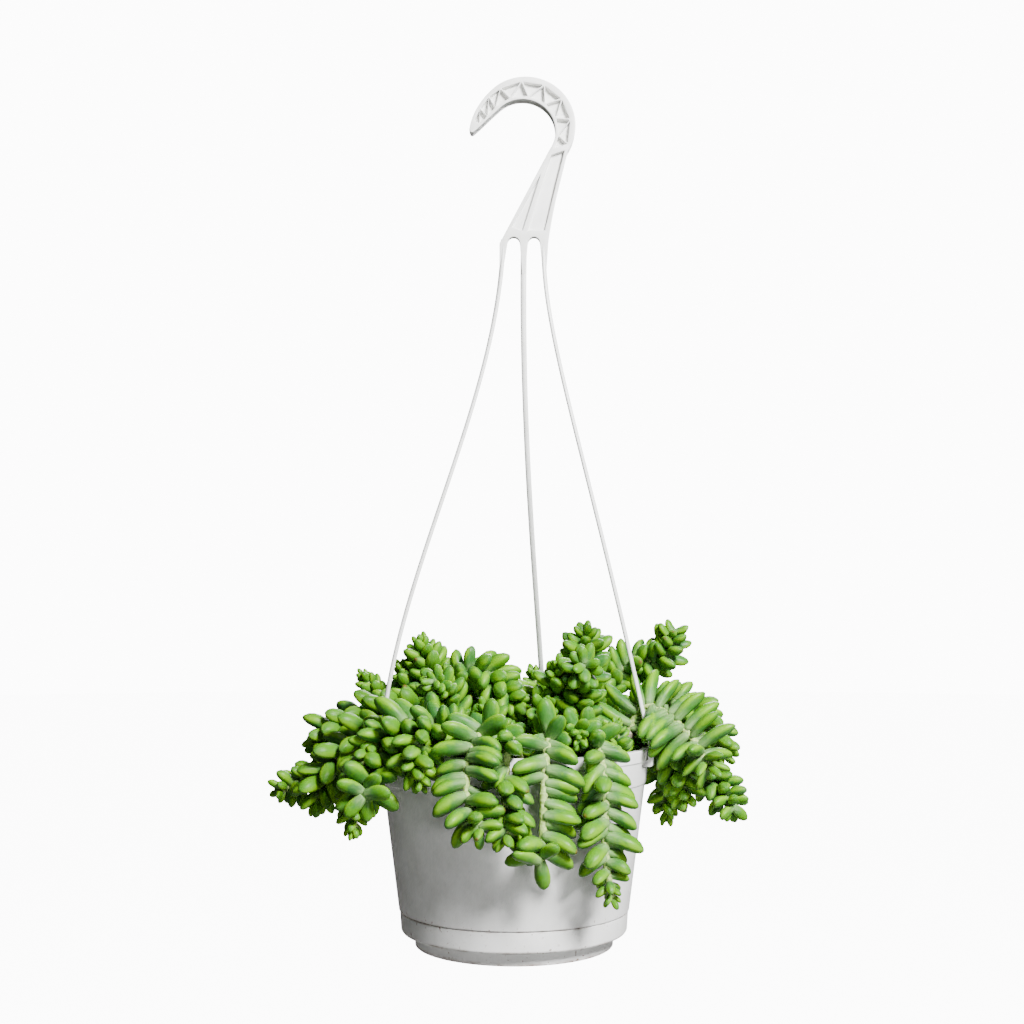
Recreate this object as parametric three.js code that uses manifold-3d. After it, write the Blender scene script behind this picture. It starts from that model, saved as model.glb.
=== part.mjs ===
// A burro's tail plant trailing over the rim of a white hanging pot, with its clip-on saucer and hanger.
// Millimetres, +Z up. The origin is on the pot's axis, at the flat underside of the saucer.
// +Y points to the back of the pot and +X to its right.

import * as THREE from "three";
import { mergeVertices } from "three/addons/utils/BufferGeometryUtils.js";
import Module from "manifold-3d";

const wasm = await Module();
wasm.setup();

// Gaps that keep touching pieces apart
const GAP = 0.3;

// Pot, a tapered shell with a collar and a rim band
const SIDES = 32;
const POT_HEIGHT = 121;
const RIM_RADIUS = 85;
const RIM_INSIDE = 80.3;
const RIM_LOW = 113.7;
const COLLAR_LOW = 99.5;
const COLLAR_OUT = 0.7;
const SHELF_HEIGHT = 21.7;
const SHELF_RADIUS = 71.6;
const WALL_SLOPE = 0.134;
const WALL = 1.8;
const POT_FOOT = 10.2;
const POT_FOOT_RADIUS = 67;
const FLOOR_LOW = 11.4;
const FLOOR_TOP = 13.4;
const DRAIN_RADIUS = 4;
const DRAIN_RING = 42;
const DRAIN_COUNT = 4;
const LUG_COUNT = 4;
const LUG_TOP = 16.2;
const LUG_OUT = 1.3;

// Saucer, a stepped tray that the pot's foot stands in
const SAUCER_HEIGHT = 21.3;
const SAUCER_RADIUS = 71;
const SAUCER_WALL = 1.4;
const SAUCER_STEP = 8.8;
const SAUCER_FLOOR = 1.8;
const SAUCER_FOOT_RADIUS = 61.5;

// Soil
const SOIL_EDGE = 108;
const SOIL_TOP = 110;

// Hanger: a hook on a ribbed neck, three arms, and a clip at the end of each
const HOOK_DEPTH = 8;
const WEB = 1.8;
const OUTER_CENTRE = new THREE.Vector2(7.6, 522.6);
const OUTER_RADIUS = 32.7;
const INNER_CENTRE = new THREE.Vector2(5.5, 518.4);
const INNER_RADIUS = 21.6;
const OUTER_FLANGE = 3.6;
const INNER_FLANGE = 2;
const NECK_TOP = 504;
const NECK_LOW = 445;
const ARM_TOP = 447;
const ARM_WIDTH = 3.6;
const ARM_THICK = 2.6;
const CLIP_RADIUS = 87.1;
const CLIP_WIDTH = 8;
const CLIP_LOW = 110.4;
const TAB_INSIDE = 84;
const TAB_LOW = 114.8;
const POCKET_INSIDE = 81.8;
const POCKET_LOW = 109.9;
const POCKET_TOP = 119.8;
const POCKET_HALF = 10.3;
const TAB_HALF = 5.2;
const ARMS = [
  { angle: 202, points: [[-7, 0, ARM_TOP], [-10, 0, 336], [-77.5, -32, 221]] },
  { angle: 76, points: [[6.5, 0, ARM_TOP], [3.5, 0, 300], [19.4, 58, 190]] },
  { angle: 345, points: [[19.6, 0, ARM_TOP], [16.6, 0, 388], [47.4, -21, 300]] },
];

// Leaves: a plump blade is WIDE and THICK as shares of its length, bends by BEND of it, and is SUNK by a
// share of it past the middle of its stem
const LEAF_SIDES = 4;
const WIDE = 0.46;
const THICK = 0.36;
const BEND = 0.16;
const SUNK = 0.05;
const STEM_RADIUS = 2;
const STEM_SIDES = 4;
const STEM_STEP = 12;
const HOLE_ROOM = 0.55;
const GOLDEN_ANGLE = 137.508;
const SMALL_LEAF = 18;
const FUSED_APART = 9.7;
const ROOT_LOW = 97;
const COLLAR_OF_STEM = 113;

const STEM_HABIT = {
  fan: 0, twist: 0, start: 17, tip: 0.42, open: 26, tipGap: 0.95, taper: 17, rows: 999, slim: 1,
  bare: [0, 0],
};

// Each stem runs from its root in the soil through its points.
// leaf, slim: the length of its leaves, and their width as a share of the usual one. gap: their spacing.
// lean: their angle to the stem. start: the bare length from the root. twist: the turn of the spiral.
// fan, rows: how far they are pressed into two rows, and how far from the tip that goes on.
// face: the side that the two rows lie open to. bare: a stretch from the tip with none on one side.
// tip, open, tipGap: the share of length, the angle and the spacing of the last ones, up to taper from
// the tip.
const STEMS = [
  { name: "stem_front_left", root: [-8, -40], leaf: 22, fan: 0.9, gap: 3.5, lean: 84, twist: 20,
    tip: 0.56, open: 64, tipGap: 1.2, rows: 50,
    points: [[-13, -58, 131], [-20, -76, 134], [-25, -89, 124], [-27, -95, 110], [-25, -99, 96],
      [-18, -107, 83]] },
  { name: "stem_front_centre", root: [22, -42], leaf: 21.5, fan: 0.86, gap: 3.6, lean: 86, twist: 60,
    tip: 0.8, open: 80, tipGap: 1.9, rows: 56, bare: [20, 48],
    points: [[22, -60, 130], [20, -77, 132], [18, -89, 122], [16.5, -94, 104], [16, -95, 84],
      [15, -97, 72], [14, -104, 66]] },
  { name: "stem_front_right", root: [39, -36], leaf: 20.5, fan: 0.6, gap: 2.8, lean: 80, twist: 10,
    tip: 0.34, open: 50, taper: 34, rows: 78, start: 32,
    points: [[42, -52, 129], [47, -68, 129], [50.5, -78, 116], [52, -82, 96], [51.5, -83, 70],
      [55, -84, 42]] },
  { name: "stem_left_front", root: [-38, -24], leaf: 24, fan: 0.3, gap: 2.9, lean: 82, twist: 100,
    tip: 0.7, open: 76, tipGap: 1.5,
    points: [[-46, -31, 129], [-60, -43, 136], [-73, -53, 130], [-81, -59, 117], [-85, -66, 106],
      [-86, -80, 99]] },
  { name: "stem_right_long", root: [69, -14], leaf: 26, fan: 0.88, gap: 2.8, lean: 95, start: 31,
    face: [0.1, -1, 0.35], tip: 0.5, open: 50, slim: 0.76,
    points: [[71, -15, 131], [80, -18, 146], [91, -23, 144], [102, -29, 135], [111, -34, 124],
      [117, -39, 111]] },
  { name: "stem_right_mound", root: [36, -16], leaf: 18, gap: 1.5, lean: 78, twist: 40, tip: 0.62,
    open: 62, tipGap: 1.1,
    points: [[38, -20, 137], [41, -26, 160], [42, -33, 169], [42, -47, 174]] },
  { name: "stem_left_down", root: [-52, -6], leaf: 22.5, fan: 0.3, gap: 2.6, lean: 76, tip: 0.45,
    points: [[-60, -10, 128], [-82, -14, 133], [-104, -16, 121], [-116, -17, 104], [-120, -16, 88]] },
  { name: "stem_left_upper", root: [-44, 12], leaf: 22.5, fan: 0.35, gap: 2.5, lean: 72, twist: 50,
    tip: 0.5, open: 34,
    points: [[-54, 15, 133], [-72, 17, 142], [-92, 17, 140], [-111, 16, 131], [-125, 13, 120]] },
  { name: "stem_left_mound", root: [-34, 4], leaf: 18.5, gap: 1.4, lean: 72, twist: 15, tip: 0.56,
    slim: 1.12,
    points: [[-38, 6, 145], [-34, 3, 163], [-21, -3, 168], [-8, -10, 157], [4, -16, 146]] },
  { name: "stem_left_rosette", root: [-30, -14], leaf: 15.5, gap: 1.6, lean: 74, twist: 75, tip: 0.5,
    open: 56,
    points: [[-36, -18, 138], [-41, -23, 152], [-45, -31, 160], [-49, -42, 163]] },
  { name: "stem_left_upright", root: [-36, 30], leaf: 18, gap: 1.5, lean: 66, twist: 130, tip: 0.45,
    points: [[-43, 28, 140], [-53, 26, 163], [-60, 25, 185]] },
  { name: "stem_left_small", root: [-52, 38], leaf: 12.5, gap: 1.6, lean: 62, twist: 200, tip: 0.5,
    points: [[-63, 40, 130], [-82, 44, 144], [-101, 45, 163]] },
  { name: "stem_right_upright", root: [48, 16], leaf: 20, gap: 1.6, lean: 72, twist: 250, tip: 0.5,
    open: 44,
    points: [[48, 18, 145], [47, 20, 170], [46, 12, 192]] },
  { name: "stem_right_back", root: [54, 36], leaf: 17, fan: 0.1, gap: 1.9, lean: 72, twist: 310,
    tip: 0.58, open: 58, tipGap: 1.1,
    points: [[59, 42, 140], [67, 46, 160], [78, 46, 171], [91, 42, 173], [101, 36, 180],
      [105, 30, 193]] },
  { name: "stem_right_middle", root: [62, 6], leaf: 18.5, fan: 0.2, gap: 2.3, lean: 68, twist: 20,
    tip: 0.45, open: 44,
    points: [[73, 8, 133], [91, 9, 147], [109, 8, 146], [123, 3, 134], [132, -4, 114]] },
  { name: "stem_right_low", root: [64, 20], leaf: 17.5, fan: 0.2, gap: 2.2, lean: 72, twist: 160,
    tip: 0.66, open: 72, tipGap: 1.3,
    points: [[74, 22, 129], [94, 22, 129], [115, 18, 115], [130, 9, 95], [137, -6, 83]] },
  { name: "stem_right_dark", root: [58, 26], leaf: 17.5, fan: 0.2, gap: 2.2, lean: 76, twist: 230,
    points: [[70, 33, 127], [84, 38, 126], [96, 37, 111], [100, 34, 92], [99, 32, 73]] },
  { name: "stem_far_left", root: [-60, 18], leaf: 16, fan: 0.1, gap: 2.4, lean: 74, twist: 80,
    tip: 0.55, open: 60, tipGap: 1.1,
    points: [[-72, 24, 126], [-92, 27, 126], [-113, 21, 112], [-133, 12, 99], [-149, 4, 92]] },
  { name: "stem_back_left", root: [-30, 52], leaf: 18.5, fan: 0.3, gap: 2.4, lean: 76, twist: 80,
    points: [[-36, 66, 128], [-44, 82, 128], [-50, 92, 114], [-50, 96, 94], [-47, 95, 72]] },
  { name: "stem_back_centre", root: [-2, 50], leaf: 20, fan: 0.5, gap: 2.9, lean: 80, twist: 10,
    tip: 0.45, open: 44,
    points: [[-3, 66, 130], [-4, 82, 131], [-5, 94, 118], [-4, 97, 98], [-2, 96, 76], [-2, 93, 56]] },
  { name: "stem_back_right", root: [34, 48], leaf: 18.5, fan: 0.3, gap: 2.5, lean: 76, twist: 140,
    tip: 0.45, open: 40,
    points: [[42, 60, 129], [53, 74, 129], [61, 84, 115], [63, 87, 96], [61, 86, 78]] },
  { name: "stem_back_mound", root: [6, 22], leaf: 18, gap: 1.7, lean: 76, twist: 60, tip: 0.45,
    points: [[5, 26, 136], [0, 36, 148], [-8, 50, 150], [-16, 62, 142]] },
  { name: "stem_centre_small", root: [10, -6], leaf: 16, gap: 1.6, lean: 74, twist: 180, open: 36,
    points: [[12, -8, 130], [16, -18, 142], [20, -35, 148]] },
  { name: "stem_front_low", root: [4, -60], leaf: 18.5, gap: 2.2, lean: 76, twist: 300, fan: 0.3,
    tip: 0.5, open: 52, start: 46,
    points: [[2, -69, 127], [-2, -80, 131], [-4, -90, 124], [-5, -95, 110], [-5, -99, 94],
      [-4, -105, 77]] },
  { name: "stem_front_short", root: [31, -57], leaf: 16.5, gap: 1.9, lean: 72, twist: 120, open: 36,
    points: [[33, -63, 126], [36, -73, 135], [37, -83, 131]] },
  { name: "stem_left_low", root: [-28, -46], leaf: 18.5, gap: 1.9, lean: 74, twist: 210, open: 36,
    points: [[-34, -52, 128], [-46, -61, 136], [-55, -71, 131], [-57, -78, 118], [-55, -81, 107]] },
  { name: "stem_right_short", root: [61, -35], leaf: 13.5, gap: 1.6, lean: 68, twist: 30,
    points: [[61, -36, 122], [62, -39, 137]] },
  { name: "stem_inner_front", root: [-12, -20], leaf: 16.5, gap: 1.6, lean: 74, twist: 330, open: 34,
    points: [[-15, -27, 130], [-18, -38, 147]] },
  { name: "stem_inner_left", root: [-16, 18], leaf: 15.5, gap: 1.6, lean: 74, twist: 110,
    points: [[-17, 22, 132], [-20, 30, 150]] },
  { name: "stem_inner_right", root: [22, 10], leaf: 15.5, gap: 1.6, lean: 72, twist: 70,
    points: [[21, 12, 134], [17, 15, 152], [12, 16, 166]] },
  { name: "stem_back_low_left", root: [-14, 66], leaf: 16, gap: 1.8, lean: 72, twist: 160,
    points: [[-15, 70, 124], [-20, 79, 136]] },
  { name: "stem_back_low_right", root: [14, 64], leaf: 16, gap: 1.8, lean: 72, twist: 240,
    points: [[14, 68, 124], [12, 78, 136]] },
  { name: "stem_left_edge", root: [-62, -28], leaf: 14.5, gap: 2.1, lean: 70, twist: 350,
    points: [[-67, -33, 126], [-77, -46, 131], [-88, -58, 120], [-92, -63, 102], [-93, -67, 78]] },
  { name: "stem_back_edge_right", root: [56, 49], leaf: 15.5, gap: 1.7, lean: 72, twist: 20,
    points: [[59, 53, 124], [67, 61, 136]] },
  { name: "stem_back_edge_left", root: [-52, 54], leaf: 15.5, gap: 1.7, lean: 72, twist: 280,
    points: [[-55, 57, 124], [-62, 65, 136]] },
  { name: "stem_left_behind", root: [-46, 24], leaf: 16, gap: 1.6, lean: 68, twist: 40,
    points: [[-54, 27, 132], [-66, 29, 152], [-73, 29, 170]] },
  { name: "stem_right_inner", root: [24, -14], leaf: 16.5, gap: 1.6, lean: 74, twist: 90, tip: 0.5,
    open: 34,
    points: [[25, -16, 135], [27, -21, 154], [28, -30, 171]] },
  { name: "stem_right_under", root: [71, 3], leaf: 17.5, fan: 0.2, gap: 2.2, lean: 74, twist: 110,
    tip: 0.5, open: 50,
    points: [[77, 1, 126], [89, -5, 132], [98, -11, 122], [103, -16, 105], [105, -20, 89]] },
  { name: "stem_bare", root: [69, -26], leaf: 13, gap: 1.6, lean: 70, start: 99,
    points: [[70, -26.5, 122], [71, -27, 132]] },
];

// Finishes
const plastic = new THREE.MeshStandardMaterial({ color: 0xe9e9e7, roughness: 0.42, metalness: 0 });
const earth = new THREE.MeshStandardMaterial({ color: 0x2b201a, roughness: 0.95, metalness: 0 });
const foliage = new THREE.MeshStandardMaterial({ color: 0x7fae4e, roughness: 0.55, metalness: 0 });
const bark = new THREE.MeshStandardMaterial({ color: 0x8a7f6c, roughness: 0.85, metalness: 0 });

const radians = THREE.MathUtils.degToRad;

// Solids

function solidOf(geometry) {
  geometry.deleteAttribute("normal");
  geometry.deleteAttribute("uv");
  const merged = mergeVertices(geometry, 1e-4);
  const vertProperties = new Float32Array(merged.attributes.position.array);
  const triVerts = new Uint32Array(merged.index.array);
  return new wasm.Manifold(new wasm.Mesh({ numProp: 3, vertProperties, triVerts }));
}

function geometryOf(solid) {
  const mesh = solid.getMesh();
  const geometry = new THREE.BufferGeometry();
  geometry.setAttribute("position", new THREE.BufferAttribute(new Float32Array(mesh.vertProperties), 3));
  geometry.setIndex(new THREE.BufferAttribute(new Uint32Array(mesh.triVerts), 1));
  geometry.computeVertexNormals();
  return geometry;
}

function named(name, solid, material) {
  const mesh = new THREE.Mesh(geometryOf(solid), material);
  mesh.name = name;
  return mesh;
}

// A profile of [radius, height] pairs, inside first and outside last, turned round the pot's axis
function turned(profile, sides = SIDES) {
  const points = profile.map(([r, z]) => new THREE.Vector2(r, z));
  return solidOf(new THREE.LatheGeometry(points, sides).rotateX(Math.PI / 2));
}

// A block from its lowest to its highest corner, turned by an angle about the pot's axis
function block(low, high, angle = 0) {
  const size = high.map((v, i) => v - low[i]);
  const centre = high.map((v, i) => (v + low[i]) / 2);
  const geometry = new THREE.BoxGeometry(...size).translate(...centre).rotateZ(radians(angle));
  return solidOf(geometry);
}

// A flat outline in the upright plane of X and Z, thickened along Y from y = back towards the front
function plate(shape, depth, back, curveSegments = 12) {
  const settings = { depth, bevelEnabled: false, curveSegments, steps: 1 };
  return new THREE.ExtrudeGeometry(shape, settings).rotateX(Math.PI / 2).translate(0, back, 0);
}

function outline(points) {
  return new THREE.Shape(points.map(([x, z]) => new THREE.Vector2(x, z)));
}

// Pot

const wallRadius = (z) => SHELF_RADIUS + WALL_SLOPE * (z - SHELF_HEIGHT);

function makePot() {
  const insideAtShelf = wallRadius(SHELF_HEIGHT + 2) - WALL;
  let pot = turned([
    [0, FLOOR_LOW], [61, FLOOR_LOW], [61.6, POT_FOOT], [POT_FOOT_RADIUS, POT_FOOT],
    [POT_FOOT_RADIUS + 0.5, SHELF_HEIGHT], [SHELF_RADIUS, SHELF_HEIGHT],
    [wallRadius(COLLAR_LOW), COLLAR_LOW], [wallRadius(COLLAR_LOW) + COLLAR_OUT, COLLAR_LOW + 0.4],
    [wallRadius(RIM_LOW) + COLLAR_OUT - 0.5, RIM_LOW], [RIM_RADIUS - 0.2, RIM_LOW + 0.2],
    [RIM_RADIUS, POT_HEIGHT - 0.9], [RIM_RADIUS - 0.8, POT_HEIGHT],
    [RIM_INSIDE + 0.6, POT_HEIGHT], [RIM_INSIDE, POT_HEIGHT - 1.2],
    [wallRadius(COLLAR_LOW - 4) - WALL, COLLAR_LOW - 4], [insideAtShelf, SHELF_HEIGHT + 2],
    [POT_FOOT_RADIUS - WALL, SHELF_HEIGHT - 1], [POT_FOOT_RADIUS - WALL - 0.5, FLOOR_TOP], [0, FLOOR_TOP],
  ]);
  for (const { angle } of ARMS) {
    // A pocket behind the rim band, open to both sides of a tab and below it
    const [near, far] = [TAB_INSIDE - 1, RIM_RADIUS + 4];
    const half = POCKET_HALF;
    pot = pot
      .subtract(block([POCKET_INSIDE, -half, POCKET_LOW], [TAB_INSIDE, half, POCKET_TOP], angle))
      .subtract(block([near, -half, POCKET_LOW], [far, -TAB_HALF, POCKET_TOP], angle))
      .subtract(block([near, TAB_HALF, POCKET_LOW], [far, half, POCKET_TOP], angle))
      .subtract(block([near, -TAB_HALF - 1, POCKET_LOW], [far, TAB_HALF + 1, TAB_LOW], angle));
  }
  for (let i = 0; i < DRAIN_COUNT; i++) {
    const at = radians((360 * (i + 0.5)) / DRAIN_COUNT);
    const drill = new THREE.CylinderGeometry(DRAIN_RADIUS, DRAIN_RADIUS, 6, 8).rotateX(Math.PI / 2);
    drill.translate(DRAIN_RING * Math.cos(at), DRAIN_RING * Math.sin(at), FLOOR_TOP - 1);
    pot = pot.subtract(solidOf(drill));
  }
  // Lugs under the saucer's bead, which hold the saucer on
  for (let i = 0; i < LUG_COUNT; i++) {
    const low = [POT_FOOT_RADIUS - 0.6, -5, LUG_TOP - 1.4];
    pot = pot.add(block(low, [POT_FOOT_RADIUS + LUG_OUT, 5, LUG_TOP], (360 * i) / LUG_COUNT));
  }
  return pot;
}

function makeSaucer() {
  const inside = SAUCER_RADIUS - SAUCER_WALL;
  return turned([
    [0, 0], [SAUCER_FOOT_RADIUS, 0], [SAUCER_FOOT_RADIUS + 0.3, SAUCER_STEP - 0.8],
    [SAUCER_RADIUS - 1.6, SAUCER_STEP], [SAUCER_RADIUS - 0.8, SAUCER_STEP + 1.2],
    [SAUCER_RADIUS, SAUCER_HEIGHT - 0.4], [SAUCER_RADIUS - 0.5, SAUCER_HEIGHT],
    [inside - 0.4, SAUCER_HEIGHT], [inside - 0.9, SAUCER_HEIGHT - 2.2],
    [inside - 0.9, LUG_TOP + 1.2], [inside - 0.4, LUG_TOP + 0.5], [inside - 0.8, POT_FOOT - GAP],
    [SAUCER_FOOT_RADIUS - 1.2, POT_FOOT - GAP], [SAUCER_FOOT_RADIUS - 1.6, SAUCER_FLOOR], [0, SAUCER_FLOOR],
  ]);
}

// Hanger

const polar = (centre, radius, angle) => [
  centre.x + radius * Math.cos(radians(angle)),
  centre.y + radius * Math.sin(radians(angle)),
];

function hookOutline() {
  const shape = new THREE.Shape();
  const rightArc = polar(OUTER_CENTRE, OUTER_RADIUS, 126);
  const innerEnd = polar(INNER_CENTRE, INNER_RADIUS, 137);
  shape.moveTo(-29.2, 519.8);
  shape.bezierCurveTo(-27.6, 531, -20.8, 541.6, ...rightArc);
  shape.absarc(OUTER_CENTRE.x, OUTER_CENTRE.y, OUTER_RADIUS, radians(126), radians(-34), true);
  shape.bezierCurveTo(31.2, 489, 25.5, 470, 22.4, NECK_LOW);
  // The roots of the three arms, with an arch between each two
  shape.lineTo(21.3, 424);
  shape.lineTo(17.9, 424);
  shape.lineTo(17.1, NECK_LOW - 1);
  shape.bezierCurveTo(16.6, 450, 9.6, 450, 9, NECK_LOW - 1);
  shape.lineTo(8.2, 424);
  shape.lineTo(4.8, 424);
  shape.lineTo(4, NECK_LOW - 1);
  shape.bezierCurveTo(3.4, 450, -3.8, 450, -4.4, NECK_LOW - 1);
  shape.lineTo(-5.3, 424);
  shape.lineTo(-8.7, 424);
  shape.lineTo(-9.4, NECK_LOW - 1);
  shape.lineTo(...polar(INNER_CENTRE, INNER_RADIUS, -35));
  shape.absarc(INNER_CENTRE.x, INNER_CENTRE.y, INNER_RADIUS, radians(-35), radians(137), false);
  shape.bezierCurveTo(-16.5, innerEnd[1] - 5.5, -22.5, 521, -26.8, 517.6);
  shape.lineTo(-28.4, 517.8);
  return shape;
}

// The triangles between the zigzag ribs of the hook, each drawn in from its ribs
function hookPockets() {
  const nodes = [];
  for (let i = 0; i <= 11; i++) {
    const angle = -22 + 14.6 * i;
    nodes.push(i % 2
      ? polar(INNER_CENTRE, INNER_RADIUS + INNER_FLANGE, angle)
      : polar(OUTER_CENTRE, OUTER_RADIUS - OUTER_FLANGE, angle));
  }
  return nodes.slice(2).map((last, i) => {
    const corners = [nodes[i], nodes[i + 1], last];
    const middle = [0, 1].map((k) => (corners[0][k] + corners[1][k] + corners[2][k]) / 3);
    return corners.map((corner) => corner.map((v, k) => middle[k] + 0.74 * (v - middle[k])));
  });
}

const NECK_POCKETS = [
  [[17.4, 489.5], [-1.6, 454.6], [5.7, 452.4]],
  [[21.4, 496], [31.6, 501], [27.4, 484], [22.3, 463], [19.8, 452.6], [8.9, 452.4], [19.8, 489]],
];

function clipOutline() {
  const outside = CLIP_RADIUS + ARM_THICK / 2;
  const slit = CLIP_RADIUS - ARM_THICK / 2;
  const shape = new THREE.Shape();
  shape.moveTo(outside, 126);
  shape.lineTo(outside, CLIP_LOW + 3);
  shape.quadraticCurveTo(outside, CLIP_LOW, outside - 2.8, CLIP_LOW);
  shape.lineTo(TAB_INSIDE, CLIP_LOW);
  shape.quadraticCurveTo(POCKET_INSIDE + 0.4, CLIP_LOW, POCKET_INSIDE + 0.4, CLIP_LOW + 2);
  shape.lineTo(POCKET_INSIDE + 0.4, 118.7);
  shape.lineTo(TAB_INSIDE - GAP - 0.5, 119.4);
  shape.lineTo(TAB_INSIDE - GAP, 118.7);
  shape.lineTo(TAB_INSIDE - GAP, TAB_LOW - 0.4);
  shape.lineTo(slit, TAB_LOW - 0.4);
  shape.lineTo(slit, 126);
  return shape;
}

// The section of an arm: an oval of eight sides, turned so that its flat side faces the pot's axis
function armSection(turn) {
  const corners = [];
  for (let i = 0; i < 8; i++) {
    const a = radians(45 * i + 22.5);
    corners.push([(ARM_THICK / 2 / 0.924) * Math.cos(a), (ARM_WIDTH / 2 / 0.924) * Math.sin(a)]);
  }
  const c = Math.cos(turn);
  const s = Math.sin(turn);
  return new THREE.Shape(corners.map(([x, y]) => new THREE.Vector2(x * c - y * s, x * s + y * c)));
}

function armCurve({ angle, points }) {
  const a = radians(angle);
  const end = new THREE.Vector3(CLIP_RADIUS * Math.cos(a), CLIP_RADIUS * Math.sin(a), POCKET_TOP);
  return new THREE.CubicBezierCurve3(...points.map((p) => new THREE.Vector3(...p)), end);
}

function makeHanger() {
  let hanger = solidOf(plate(hookOutline(), HOOK_DEPTH, HOOK_DEPTH / 2));
  // The neck and the roots of the arms are slimmer than the hook
  const [half, slim] = [HOOK_DEPTH / 2, ARM_THICK / 2];
  const side = outline([[half + 1, NECK_TOP], [half + 1, 570], [-half - 1, 570], [-half - 1, NECK_TOP],
    [-half, NECK_TOP - 4], [-slim, 420], [slim, 420], [half, NECK_TOP - 4]]);
  hanger = hanger.intersect(solidOf(plate(side, 90, 45).rotateZ(Math.PI / 2)));
  // Pockets in both faces leave a web between the ribs
  const cut = (HOOK_DEPTH - WEB) / 2 + 1;
  for (const corners of [...hookPockets(), ...NECK_POCKETS]) {
    hanger = hanger
      .subtract(solidOf(plate(outline(corners), cut, WEB / 2 + cut)))
      .subtract(solidOf(plate(outline(corners), cut, -WEB / 2)));
  }
  for (const arm of ARMS) {
    const settings = { steps: 16, bevelEnabled: false, extrudePath: armCurve(arm) };
    const rod = new THREE.ExtrudeGeometry(armSection(radians(arm.angle)), settings);
    const clip = plate(clipOutline(), CLIP_WIDTH, CLIP_WIDTH / 2, 3).rotateZ(radians(arm.angle));
    hanger = hanger.add(solidOf(rod)).add(solidOf(clip));
  }
  return hanger;
}

// Plant

// Seeded draws, the same in every run
function draws(seed) {
  let state = seed >>> 0;
  const next = () => {
    state = (Math.imul(1664525, state) + 1013904223) >>> 0;
    return state / 4294967296;
  };
  next();
  next();
  next();
  return next;
}

function smooth(t) {
  const x = Math.min(Math.max(t, 0), 1);
  return x * x * (3 - 2 * x);
}

class Stem {
  constructor(spec, number) {
    Object.assign(this, STEM_HABIT, spec);
    this.number = number;
    const [x, y] = this.root;
    const points = [[x, y, ROOT_LOW], [x, y, COLLAR_OF_STEM], ...this.points];
    const course = points.map((p) => new THREE.Vector3(...p));
    this.curve = new THREE.CatmullRomCurve3(course, false, "catmullrom", 0.5);
    this.line = this.curve.getPoints(24 * (points.length - 1));
    this.along = [0];
    for (let i = 1; i < this.line.length; i++) {
      this.along.push(this.along[i - 1] + this.line[i].distanceTo(this.line[i - 1]));
    }
    this.length = this.along.at(-1);
    this.marks = this.line.filter((_, i) => i % 4 === 0 || i === this.line.length - 1);
  }

  point(s) {
    const at = Math.min(Math.max(s, 0), this.length);
    let i = 1;
    while (i < this.along.length - 1 && this.along[i] < at) i += 1;
    const t = (at - this.along[i - 1]) / (this.along[i] - this.along[i - 1]);
    return this.line[i - 1].clone().lerp(this.line[i], t);
  }

  // The place, the way along, the way out from the pot and the way across, at a distance from the root
  frame(s) {
    const place = this.point(s);
    const along = this.point(s + 1).sub(this.point(s - 1)).normalize();
    const out = this.face
      ? new THREE.Vector3(...this.face)
      : new THREE.Vector3(place.x / RIM_RADIUS, place.y / RIM_RADIUS, 0.8);
    out.addScaledVector(along, -out.dot(along)).normalize();
    return { place, along, out, across: along.clone().cross(out) };
  }
}

class Leaf {
  constructor(stem, s, turn, lean, length) {
    const { place, along, out, across } = stem.frame(s);
    const a = radians(turn);
    const e = radians(lean);
    this.base = place;
    this.way = along.clone().multiplyScalar(Math.cos(e))
      .addScaledVector(out, Math.sin(e) * Math.cos(a))
      .addScaledVector(across, Math.sin(e) * Math.sin(a));
    this.bend = along.clone().addScaledVector(this.way, -along.dot(this.way)).normalize();
    this.length = length;
    this.slim = stem.slim;
    this.radius = 0.2 * length * this.slim;
    this.ends = [0.34, 0.62, 0.86].map((t) => this.point(t));
    this.middle = this.ends[0].clone().add(this.ends[2]).multiplyScalar(0.5);
    this.reach = this.ends[0].distanceTo(this.ends[2]) / 2 + this.radius;
  }

  point(t) {
    return this.base.clone()
      .addScaledVector(this.way, this.length * t)
      .addScaledVector(this.bend, this.length * BEND * t * t);
  }

  // A plump blade with a pole at each end and two rings between, or one in a small leaf
  solid() {
    const { length } = this;
    const profile = length > SMALL_LEAF
      ? [[0, -SUNK], [0.44 * WIDE, 0.34], [0.5 * WIDE, 0.7], [0, 1]]
      : [[0, -SUNK], [0.52 * WIDE, 0.6], [0, 1]];
    const points = profile.map(([r, t]) => new THREE.Vector2(r * length, t * length));
    const geometry = new THREE.LatheGeometry(points, LEAF_SIDES);
    geometry.scale(this.slim, 1, (this.slim * THICK) / WIDE);
    const position = geometry.attributes.position;
    for (let i = 0; i < position.count; i++) {
      const t = position.getY(i) / length;
      position.setZ(i, position.getZ(i) + length * BEND * t * t);
    }
    const basis = new THREE.Matrix4().makeBasis(this.way.clone().cross(this.bend), this.way, this.bend);
    return solidOf(geometry.applyMatrix4(basis.setPosition(this.base)));
  }
}

// The least distance between two straight pieces, from a to b and from c to d
function pieceDistance(a, b, c, d) {
  const u = b.clone().sub(a);
  const v = d.clone().sub(c);
  const w = a.clone().sub(c);
  const uu = u.dot(u);
  const vv = v.dot(v);
  const uv = u.dot(v);
  const uw = u.dot(w);
  const vw = v.dot(w);
  const clamp = (x) => Math.min(Math.max(x, 0), 1);
  const det = uu * vv - uv * uv;
  let s = det > 1e-9 ? clamp((uv * vw - uw * vv) / det) : 0;
  let t = (uv * s + vw) / vv;
  if (t < 0) {
    t = 0;
    s = clamp(-uw / uu);
  } else if (t > 1) {
    t = 1;
    s = clamp((uv - uw) / uu);
  }
  return w.addScaledVector(u, s).addScaledVector(v, -t).length();
}

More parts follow.
